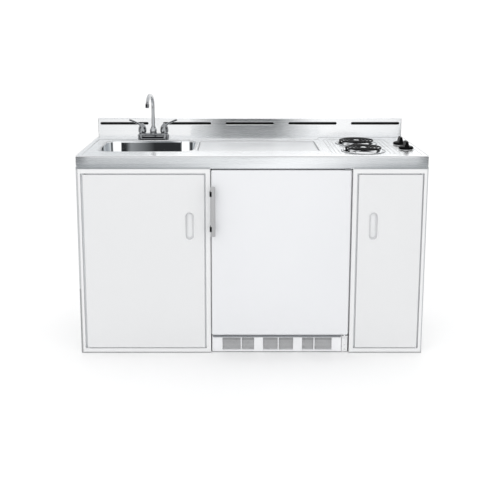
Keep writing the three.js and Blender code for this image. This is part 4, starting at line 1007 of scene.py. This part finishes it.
dr = Shape()
dr.add(drawer())
put("crisper_drawer_tub", dr, FROST, "crisper", "crisper_drawer", sharp=45)
grip = loft([at_x([(184.4, 232), (184.4, 249.6), (191.5, 249.6), (191.5, 246.4), (187.2, 246.4), (187.2, 232)], x) for x in (-108, 362)])
put("crisper_drawer_grip", grip, WHITE_P, "crisper", bevel=0.7)

# freezer compartment
fz = Shape()
Zb = dict(x0=-128, x1=382, y0=190, y1=545, z0=660, z1=792)
rin = [at_y(rr(Zb["x0"] + 3, Zb["x1"] - 3, Zb["z0"] + 3, Zb["z1"] - 3, 12, 6), y) for y in (541.8,)]
rings = rin + [at_y(rr(Zb["x0"] + 3, Zb["x1"] - 3, Zb["z0"] + 3, Zb["z1"] - 3, 12, 6), 192), at_y(rr(Zb["x0"] + 2, Zb["x1"] - 2, Zb["z0"] + 2, Zb["z1"] - 2, 13, 6), 190.4), at_y(rr(Zb["x0"] + 0.6, Zb["x1"] - 0.6, Zb["z0"] + 0.6, Zb["z1"] - 0.6, 14, 6), 190.4)]
rings += [at_y(rr(Zb["x0"], Zb["x1"], Zb["z0"], Zb["z1"], 14, 6), 192), at_y(rr(Zb["x0"], Zb["x1"], Zb["z0"], Zb["z1"], 14, 6), 545)]
fz.add(loft(rings))
for xa, xb in ((Zb["x0"] - 11, Zb["x0"] + 16), (Zb["x1"] - 16, Zb["x1"] + 11)):
    fz.add(box(xa, xb, Zb["y0"] + 10, Zb["y1"] - 10, Zb["z0"] - 0.0, Zb["z0"] + 3))
put("freezer_box_shell", fz, LINER, "unit", "freezer_box", sharp=40)


def flap():
    def ring(o, y):
        return at_y(rr(Zb["x0"] + 1 + o, Zb["x1"] - 1 - o, Zb["z0"] + 2 + o, Zb["z1"] - 6 - o, 6, 5), y)
    return loft([ring(0.6, 188), ring(0, 187.3), ring(0, 183.6), ring(0.9, 182.3), ring(3, 182), ring(9, 182), ring(11, 183.2), ring(13, 183.2)])


put("freezer_flap_moulding", flap(), WHITE_P, "flap", "freezer_flap", sharp=30)

dial = Shape()
cx1 = CV["x1"]


def turned_x(profile, y, z, n=40):
    v, fc = lathe(profile, 0, 0, n)
    return [(cx1 - p[2], y + p[0], z + p[1]) for p in v], fc


dial.add(turned_x(fillet([(0, 0.6), (20, 0.6), (20, 4.6), (18.6, 6), (13, 6.4), (12.6, 14), (11.4, 15), (0, 15)], {3: 1, 4: 1, 5: 0.8, 6: 0.8}), 170, 600))
for k in range(20):
    a = 2 * math.pi * k / 20
    dial.add(loft([at_x([(170 + 12.2 * math.cos(a + d) + (0.7 if e else 0) * math.cos(a), 600 + 12.2 * math.sin(a + d) + (0.7 if e else 0) * math.sin(a)) for d, e in ((-0.06, 0), (-0.03, 1), (0.03, 1), (0.06, 0))], x) for x in (cx1 - 14, cx1 - 7)]))
dial.add(box(cx1 - 17.6, cx1 - 14, 168, 172, 588, 612))
put("thermostat_dial_moulding", dial, WHITE_P, "dial", "thermostat_dial", sharp=40)

for end in ("left", "right"):
    dress("fridge_base_rail_" + end, ZINC, 0.8)
dress("fridge_upper_hinge", ZINC, 0.5)

# lower hinge: plate with its arm, pin and screws
lh = Shape()
lh.add(box(405, 431, 9, 12.6, 2, 80.8), 0)
lh.add(loft([at_z(rr(405.4, 430.6, -9.6, 12.8, 7, 5), 77.6), at_z(rr(405, 431, -10, 13, 7.4, 5), 78.2), at_z(rr(405, 431, -10, 13, 7.4, 5), 80.4), at_z(rr(405.4, 430.6, -9.6, 12.8, 7, 5), 81)]), 0)
lh.add(lathe(fillet([(0, 74.5), (5.4, 74.5), (6, 76), (6, 77.8), (0, 77.8)], {2: 0.6}), 415, -2, 24), 0)
lh.add(lathe([(0, 80), (4, 80), (4, 100), (3.4, 101), (0, 101)], 415, -2, 28), 0)
for zz in (14, 34):
    screw(lh, 418, 9, zz, "y", -1, 4.2)
put("fridge_lower_hinge_plate", lh, [CAB_FRAME, SHADE_BLACK], "unit", "fridge_lower_hinge", bevel=0.3, seg=1)

# compressor on its plate
comp = Shape()
comp.add(box(FR["x0"] + 2, FR["x1"] - 2, 440, 584, 18, 20), 0)
comp.add(box(FR["x0"] + 2, FR["x1"] - 2, 440, 442, 18, 26), 0)
comp.add(box(FR["x0"] + 2, FR["x1"] - 2, 582, 584, 18, 28), 0)
comp.add(lathe(fillet([(0, 26), (58, 26), (68, 36), (70, 50), (70.4, 92), (73, 93), (73, 98), (70.4, 99), (69, 128), (58, 152), (30, 168), (0, 172)], {1: 6, 2: 6, 3: 4, 5: 1, 6: 1, 8: 10, 9: 14, 10: 12}), 250, 511, 64), 1)
for dx, dy in ((-64, -46), (64, -46), (-64, 46), (64, 46)):
    comp.add(lathe(fillet([(0, 20), (9, 20), (9, 30), (6, 32), (6, 36), (0, 36)], {2: 1, 3: 1, 4: 1}), 250 + dx, 511 + dy, 24), 2)
    comp.add(box(250 + min(dx * 0.6, dx), 250 + max(dx * 0.6, dx), 511 + dy - 8, 511 + dy + 8, 29, 32), 1)
comp.add(loft([at_x(rr(488, 534, 60, 112, 5, 4), 172), at_x(rr(487, 535, 59, 113, 6, 4), 176), at_x(rr(487, 535, 59, 113, 6, 4), 184)]), 2)
comp.add(sweep(catmull([(250, 470, 160), (250, 462, 186), (226, 456, 204), (160, 452, 208), (60, 452, 200), (-40, 470, 190), (-96, 540, 186), (-104, 580, 200)], 10), 3.2, 12), 3)
comp.add(sweep(catmull([(300, 490, 150), (330, 480, 176), (352, 520, 196), (356, 570, 210)], 10), 4, 12), 3)
COPPER = polished("copper_tube", (0.55, 0.25, 0.13), 0.28, wave=0.03, vary=0.1, scale=70)
put("compressor_assembly", comp, [ZINC, BLACK_E, BLACK, COPPER], "unit", "compressor", sharp=40)

# condenser: serpentine and its wires
cond = Shape()
rows, pitch, base, xa, xb = 7, 82.0, 262.0, -108.0, 362.0
pts = []
for i in range(rows):
    z = base + i * pitch
    a, b = (xa, xb) if i % 2 == 0 else (xb, xa)
    s = 1 if i % 2 == 0 else -1
    for k in range(0, 13):
        pts.append((a + (b - a) * k / 12, 598, z))
    if i < rows - 1:
        for k in range(1, 14):
            t = math.pi * k / 14
            pts.append((b + s * 39 * math.sin(t), 598, z + pitch / 2 * (1 - math.cos(t))))
cond.add(sweep(pts, 2.6, 10), 0)
for k in range(48):
    x = xa + 4 + (xb - xa - 8) * k / 47
    cond.add(sweep([(x, 601.2, base - 10), (x, 601.2, base + 150), (x, 601.2, base + 330), (x, 601.2, base + 6 * pitch + 10)], 0.8, 6), 0)
for x in (-60, 314):
    cond.add(box(x - 8, x + 8, 600.2, 601.2, base - 12, base + 6 * pitch + 12), 0)
    for z in (306, 696):
        cond.add(box(x - 5, x + 5, 590.3, 600.4, z - 6, z + 6), 0)
put("condenser_grid", cond, BLACK_E, "unit", "condenser", sharp=40)

# kick grille
WINDOWS = [(-130, -48.5), (-43.5, 12), (52, 117.6), (122.4, 187), (227, 278.5), (283.5, 360)]
g = plate(rr(-176, 403, 0.5, 80, 1.5, 3), [rr(a, b, 11, 68, 1.2, 3) for a, b in WINDOWS], "y", 8.0, 18.0)
put("kick_grille_frame", g, GRILLE_P, "unit", "kick_grille", bevel=0.8, seg=2)
sl = Shape()
for a, b in WINDOWS:
    for i in range(9):
        z = 13.2 + i * 6.1
        blade = [(9.4, z + 2.8), (9.4, z + 3.7), (15.6, z + 0.9), (15.6, z)]
        # the top two rows take a darker copy of the slat plastic: painted shadow of the door above
        sl.add(loft([at_x(blade, a - 0.4), at_x(blade, b + 0.4)]), 2 if i > 6 else 0)
    # grey backing behind each window: painted shade in place of the dark space behind the grille
    sl.add(box(a - 0.5, b + 0.5, 16.2, 17.2, 10.6, 68.4), 1)
put("kick_grille_slats", sl, [SLAT_P, plastic("slat_backing_painted_shade", (0.55, 0.553, 0.56), 0.6), plastic("slat_rows_painted_shade", (0.50, 0.506, 0.52), 0.5)], "unit", sharp=30)

# dark strips along the top of the grille: painted shadow cast by the refrigerator's door above it
SHADOW_PAINT_SOFT = plastic("painted_shadow_soft", (0.27, 0.28, 0.30), 0.7)
put("kick_grille_painted_shadow", box(-174, 401, 7.0, 8.2, 75.0, 79.8), SHADOW_PAINT_DARK, "unit", bevel=0.3)
put("kick_grille_painted_half_shadow", box(-172, 400, 7.4, 8.2, 69.6, 74.9), SHADOW_PAINT_SOFT, "unit", bevel=0.3)
# strips that close the gaps beside the refrigerator, and dark strips along the floor: painted contact shadow
fill = Shape()
fill.add(box(429.9, 436.9, 23.6, 25.2, 82, 832))
fill.add(box(-180.9, -177.3, 23.6, 25.2, 82, 832))
put("side_fillers", fill, CAB_FRAME, "unit", bevel=0.3)
# painted contact shadow: thin dark strips along the floor in front of the cabinets and the grille
toe = Shape()
toe.add(box(-762, -181, 0.5, 1.4, 0.2, 3.4))
toe.add(box(437, 762, 0.5, 1.4, 0.2, 3.4))
toe.add(box(-176, 403, 7.0, 7.9, 0.6, 3.6))
put("floor_line_painted_shadow", toe, EDGE_PAINTED_SHADOW_DARK, "unit", bevel=0.2, seg=1)
# painted shade: grey strips down the cabinets' outer edges, darker low on the left; then painted shadow along the
# apron's lower edge and dark strips on the deck's ends
edges = Shape()
edges.add(box(-762, -754, 0.7, 1.5, 3.6, 838), 0)
edges.add(box(757.5, 762, 0.7, 1.5, 3.6, 838), 0)
edges.add(box(-762, -756.5, 0.3, 0.68, 3.6, 300), 1)
put("cabinet_edge_painted_shade", edges, [EDGE_PAINTED_SHADE, EDGE_PAINTED_SHADOW_DARK], "unit", bevel=0.15, seg=1)
# darker steel strip along the apron's lower edge over the cabinets: painted shadow under the apron
apron_shadow_line = Shape()
apron_shadow_line.add(box(-761.5, -181, -0.35, 0.4, 839.0, 846.5))
apron_shadow_line.add(box(438, 761.5, -0.35, 0.4, 839.0, 846.5))
# thin dark steel strips on the deck's left and right ends: painted shade along the edges
put("deck_end_painted_shade", Shape().add(box(758.4, 761.4, 6, 596, RIM + 0.05, RIM + 0.75)).add(box(-761.4, -759.6, 6, 596, RIM + 0.05, RIM + 0.75)), steel("deck_end_shade_steel", (0.42, 0.43, 0.44), 0.3, 1, 0.016, 0.012), "unit", bevel=0.2, seg=1)
put("apron_painted_shadow", apron_shadow_line, steel("apron_shadow_steel", (0.56, 0.575, 0.59), 0.3, 0, 0.016, 0.012), "unit", bevel=0.3)

# ------------------------------------------------------------------ refrigerator door
D = dict(x0=-176.5, x1=429, y0=-14, y1=22, z0=88, z1=834)


def door_skin():
    def ring(o, y, r=5):
        return at_y(rr(D["x0"] + o, D["x1"] - o, D["z0"] + o, D["z1"] - o, max(r - o, 1.5), 5), y)
    rings = [ring(2, D["y1"]), ring(0.6, D["y1"] - 0.6), ring(0, D["y1"] - 2), ring(0, D["y0"] + 8)]
    for s in range(1, 8):
        a = math.pi / 2 * s / 7
        rings.append(ring(8 * (1 - math.cos(a)), D["y0"] + 8 - 8 * math.sin(a), 8))
    return loft(rings)


put("fridge_door_shell", door_skin(), FRIDGE_W, "fridge_door", "fridge_door_skin", sharp=30)
caps = Shape()
for z0, z1 in ((D["z0"] - 0.0, D["z0"] + 3.0), (D["z1"] - 3.0, D["z1"])):
    pass


def gasket():
    y = 22.3
    prof = [(0, y), (0, y + 4), (1.5, y + 5.2), (0.5, y + 6.4), (1.5, y + 7.6), (0.8, y + 9.6), (3.5, y + 10.7), (11, y + 10.7), (14, y + 9.4), (13, y + 7.6), (14, y + 6.2), (13, y + 5), (14.4, y + 3.6), (14.4, y)]
    return loft([at_y(rr(-166 + o, 409 - o, 94 + o, 827 - o, 8, 5), yy) for o, yy in prof], closed=True)


put("fridge_door_gasket_seal", gasket(), GASKET, "fridge_door", "fridge_door_gasket", sharp=50)
dress("fridge_door_liner", LINER, 1.3, 3)
put("fridge_door_liner_back", box(-119.7, 369.7, 22.1, 23.2, 132.3, 776.7), LINER, "fridge_door")
wires = Shape()
for z, y in ((392, 116), (408, 116), (592, 110)):
    wires.add(sweep(catmull([(-118, 62, z), (-118, y - 8, z), (-110, y, z), (362, y, z), (368, y - 8, z), (368, 62, z)], 5), 1.6, 10))
put("door_rack_wires", wires, ZINC, "fridge_door")

# handle
hb = loft([at_z(rr(-179 + o, -158.5 - o, -49.2 + o, -38.3 - o, 4.6 - o * 0.5, 7), z) for o, z in ((1.6, 549), (0.5, 549.5), (0, 550.8), (0, 767.2), (0.5, 768.5), (1.6, 769))])
put("handle_bar_moulding", hb, HANDLE, "fridge_door", "handle_bar", sharp=40)
for n, z in (("upper", 727.0), ("lower", 572.0)):
    m = Shape()
    m.add(loft([at_z(rr(-182.5 + o, -171 - o, -38 + o, -14.3 - o * 0.2, 2.4, 4), zz) for o, zz in ((0.8, z), (0, z + 0.8), (0, z + 19.2), (0.8, z + 20))]))
    # its clip folds round the bar's outer edge on to the front
    m.add(loft([at_z([(-182.6 + o, -49.2 + o), (-181.4 + o, -49.95 + o), (-174.6 - o, -49.95 + o), (-173.6 - o, -49.2 + o), (-173.6 - o, -48.6), (-179.6, -48.2), (-180.2, -37.6), (-182.6 + o, -37.6)], zz) for o, zz in ((0.5, z - 1), (0, z - 0.4), (0, z + 20.4), (0.5, z + 21))]))
    screw(m, -176.7, -36, z + 20, "z", 1, 2.0)
    put("handle_mount_" + n + "_moulding", m, [BLACK, SHADE_BLACK], "fridge_door", "handle_mount_" + n, sharp=40)

# ------------------------------------------------------------------ camera
cam_data = bpy.data.cameras.new("camera")
cam = bpy.data.objects.new("camera", cam_data)
scene.collection.objects.link(cam)
cam_data.lens = 59.236
cam_data.sensor_width = 36.0
cam_data.shift_x = 0.02821
cam_data.shift_y = -0.17
cam_data.clip_end = 100
cam.location = (-0.0699, -3.7851, 1.4761)
cam.rotation_euler = (math.radians(90 - 10.067), 0, 0)
scene.camera = cam

# ------------------------------------------------------------------ studio
def card(name, size, loc, rot, color, strength=1.0, camera=False, glossy_only=True, ramp=None, back_only=False, soft="EASE"):
    me = bpy.data.meshes.new(name)
    w, h = size[0] / 2, size[1] / 2
    me.from_pydata([(-w, -h, 0), (w, -h, 0), (w, h, 0), (-w, h, 0)], [], [(0, 1, 2, 3)])
    o = bpy.data.objects.new(name, me)
    scene.collection.objects.link(o)
    o.location, o.rotation_euler = loc, [math.radians(a) for a in rot]
    m = bpy.data.materials.new(name)
    m.use_nodes = True
    t = m.node_tree
    t.nodes.clear()
    out = t.nodes.new("ShaderNodeOutputMaterial")
    e = t.nodes.new("ShaderNodeEmission")
    e.inputs["Color"].default_value = (*color, 1)
    e.inputs["Strength"].default_value = strength
    if ramp:
        c = t.nodes.new("ShaderNodeTexCoord")
        s = t.nodes.new("ShaderNodeSeparateXYZ")
        r = t.nodes.new("ShaderNodeValToRGB")
        mr = t.nodes.new("ShaderNodeMapRange")
        mr.inputs["From Min"].default_value, mr.inputs["From Max"].default_value = -w, w
        t.links.new(c.outputs["Object"], s.inputs[0])
        t.links.new(s.outputs[0], mr.inputs["Value"])
        t.links.new(mr.outputs[0], r.inputs[0])
        r.color_ramp.interpolation = soft
        while len(r.color_ramp.elements) < len(ramp):
            r.color_ramp.elements.new(0.5)
        for el, (pos, v) in zip(r.color_ramp.elements, ramp):
            el.position = pos
            el.color = (v * (0.93 + 0.07 * v), v, v * (1.05 - 0.05 * v), 1)
        t.links.new(r.outputs[0], e.inputs["Color"])
    if back_only:
        g = t.nodes.new("ShaderNodeNewGeometry")
        clear = t.nodes.new("ShaderNodeBsdfTransparent")
        mix = t.nodes.new("ShaderNodeMixShader")
        t.links.new(g.outputs["Backfacing"], mix.inputs["Fac"])
        t.links.new(clear.outputs[0], mix.inputs[1])
        t.links.new(e.outputs[0], mix.inputs[2])
        t.links.new(mix.outputs[0], out.inputs[0])
    else:
        t.links.new(e.outputs[0], out.inputs[0])
    me.materials.append(m)
    o.visible_camera = camera
    if glossy_only:
        o.visible_diffuse = o.visible_shadow = o.visible_transmission = o.visible_volume_scatter = False
    return o


floor_m = Mat("floor_paint", (0.93, 0.93, 0.93), 0.6)
floor_m.color(floor_m.mix(floor_m.range(floor_m.noise((1.5, 1.5, 1.5), 3), 0, 1), (0.955, 0.955, 0.955), (0.968, 0.968, 0.968)))
me = bpy.data.meshes.new("floor")
me.from_pydata([(-40, -40, 0), (40, -40, 0), (40, 40, 0), (-40, 40, 0)], [], [(0, 1, 2, 3)])
me.materials.append(floor_m.m)
floor = bpy.data.objects.new("floor", me)
floor.location.z = -0.0005
scene.collection.objects.link(floor)

world = bpy.data.worlds.new("studio")
scene.world = world
world.use_nodes = True
bg = world.node_tree.nodes["Background"]
bg.inputs["Color"].default_value = (1, 1, 1, 1)
bg.inputs["Strength"].default_value = 1.10


def area(name, size, loc, target, power):
    d = bpy.data.lights.new(name, "AREA")
    d.shape, d.size, d.size_y, d.energy = "RECTANGLE", size[0], size[1], power
    o = bpy.data.objects.new(name, d)
    scene.collection.objects.link(o)
    o.location = loc
    o.rotation_euler = (Vector(target) - Vector(loc)).to_track_quat("-Z", "Y").to_euler()
    return o


area("key", (2.4, 1.8), (-2.2, -3.2, 3.0), (0, 0, 0.5), 9)
area("fill", (2.0, 2.0), (2.6, -3.0, 2.2), (0, 0, 0.5), 4)

# what the metal sees: a low wall for the apron, bright to the right of the middle and greyer to both sides
APRON_X = [(-1.15, 0.25), (-0.65, 0.3), (0.2, 0.8), (0.85, 0.3), (1.15, 0.25)]
card("apron_wall", (2.6, 0.76), (0.0, -1.2, 0.39), (90, 0, 0), (1, 1, 1), 1.35, ramp=[((x + 1.3) / 2.6, v) for x, v in APRON_X], soft="EASE")
card("flag_left", (3.0, 3.6), (-3.4, -1.2, 1.8), (90, 0, -75), (0.04, 0.04, 0.045))
card("flag_right", (3.0, 3.6), (3.4, -1.2, 1.8), (90, 0, 75), (0.04, 0.04, 0.045))
card("strip_left", (1.4, 3.0), (-1.98, -2.5, 1.5), (90, 0, 0), (0.03, 0.03, 0.035))
card("strip_right", (1.5, 3.0), (2.22, -2.5, 1.5), (90, 0, 0), (0.03, 0.03, 0.035))
card("strip_middle", (0.34, 1.5), (0.04, -3.2, 1.05), (90, 0, 0), (0.03, 0.03, 0.035))
card("flag_top", (6.0, 1.8), (0, -0.5, 2.7), (0, 0, 0), (0.88, 0.88, 0.89))
card("front_high", (2.7, 1.9), (0.06, -2.42, 1.80), (90, 0, 0), (1, 1, 1), 1.34, ramp=[(0.0, 0.72), (0.15, 0.85), (0.5, 0.9), (0.65, 1.0), (1.0, 0.92)])
card("back_high", (6.0, 2.4), (0.0, 1.6, 2.25), (90, 0, 0), (1, 1, 1), 1.36, ramp=[(0.0, 0.55), (0.36, 0.62), (0.42, 0.95), (0.7, 0.95), (0.8, 0.8), (1.0, 0.6)])
SPLASH_X = [(0.0, 0.8), (0.3, 0.9), (0.42, 0.1), (0.58, 0.1), (0.7, 0.9), (1.0, 0.85)]
card("splash_card", (1.70, 0.127), (0.0, 0.04, 0.9565), (90, 0, 0), (1, 1, 1), 1.12, ramp=SPLASH_X, back_only=True, soft="LINEAR")
card("splash_right", (0.41, 0.090), (0.565, 0.235, 0.9385), (90, 0, 0), (1, 1, 1), 1.03, ramp=[(0.0, 1.0), (0.4, 0.98), (0.8, 0.93), (1.0, 0.91)], back_only=True, soft="LINEAR")
card("splash_tap", (0.47, 0.090), (-0.5325, 0.298, 0.9390), (90, 0, 0), (1, 1, 1), 0.93, ramp=[(0.0, 0.94), (0.4, 1.0), (1.0, 1.0)], back_only=True, soft="LINEAR")
# small dark cards close in front of the tap, seen by its chrome only
card("tap_card", (0.112, 0.026), (-0.480, 0.2140, 0.9080), (90, 0, 0), (0.03, 0.03, 0.035), back_only=True)
card("lever_card_left", (0.060, 0.050), (-0.580, 0.228, 0.975), (90, 0, 0), (0.03, 0.03, 0.035), back_only=True)
card("lever_card_right", (0.060, 0.050), (-0.377, 0.228, 0.975), (90, 0, 0), (0.03, 0.03, 0.035), back_only=True)
card("spout_card", (0.030, 0.075), (-0.500, 0.108, 1.082), (90, 0, 0), (0.02, 0.02, 0.025), back_only=True)
# soft lights inside and over the sink bowl, seen only from inside it, so that its polished wall shows a few clear bands
card("bowl_light", (0.424, 0.338), (-0.477, 0.0165, 0.8895), (0, 0, 0), (1, 1, 1), 1.3, ramp=[(0.0, 1.0), (0.25, 0.9), (0.45, 0.25), (0.7, 0.2), (0.8, 0.9), (1.0, 1.0)], back_only=True, soft="LINEAR")
card("bowl_front", (0.424, 0.150), (-0.477, -0.145, 0.815), (90, 0, 0), (1, 1, 1), 0.72, ramp=[(0.0, 0.05), (0.13, 0.05), (0.16, 0.5), (0.45, 0.05), (0.8, 0.05), (0.87, 1.0), (1.0, 1.0)], back_only=True, soft="LINEAR")
card("bowl_left", (0.330, 0.150), (-0.683, 0.0165, 0.815), (90, 0, -90), (1, 1, 1), 1.4, ramp=[(0.0, 0.15), (0.3, 0.9), (1.0, 1.0)], back_only=True, soft="LINEAR")
card("bowl_right", (0.330, 0.150), (-0.271, 0.0165, 0.815), (90, 0, 90), (1, 1, 1), 1.4, ramp=[(0.0, 1.0), (0.55, 0.9), (0.7, 0.08), (1.0, 0.05)], back_only=True, soft="LINEAR")
card("bowl_corner_left", (0.300, 0.150), (-0.612, 0.0350, 0.815), (90, 0, 90), (1, 1, 1), 1.5, ramp=[(0.0, 1.0), (0.885, 1.0), (0.905, 0.06), (0.93, 0.06), (0.945, 0.5), (1.0, 0.5)], back_only=True, soft="LINEAR")
card("bowl_corner_right", (0.300, 0.150), (-0.338, 0.0350, 0.815), (90, 0, -90), (1, 1, 1), 1.5, ramp=[(0.0, 0.5), (0.02, 0.45), (0.04, 0.05), (0.085, 0.05), (0.105, 1.0), (1.0, 1.0)], back_only=True, soft="LINEAR")

scene.view_settings.view_transform = "Standard"
scene.view_settings.look = "None"
scene.view_settings.exposure = 0.0
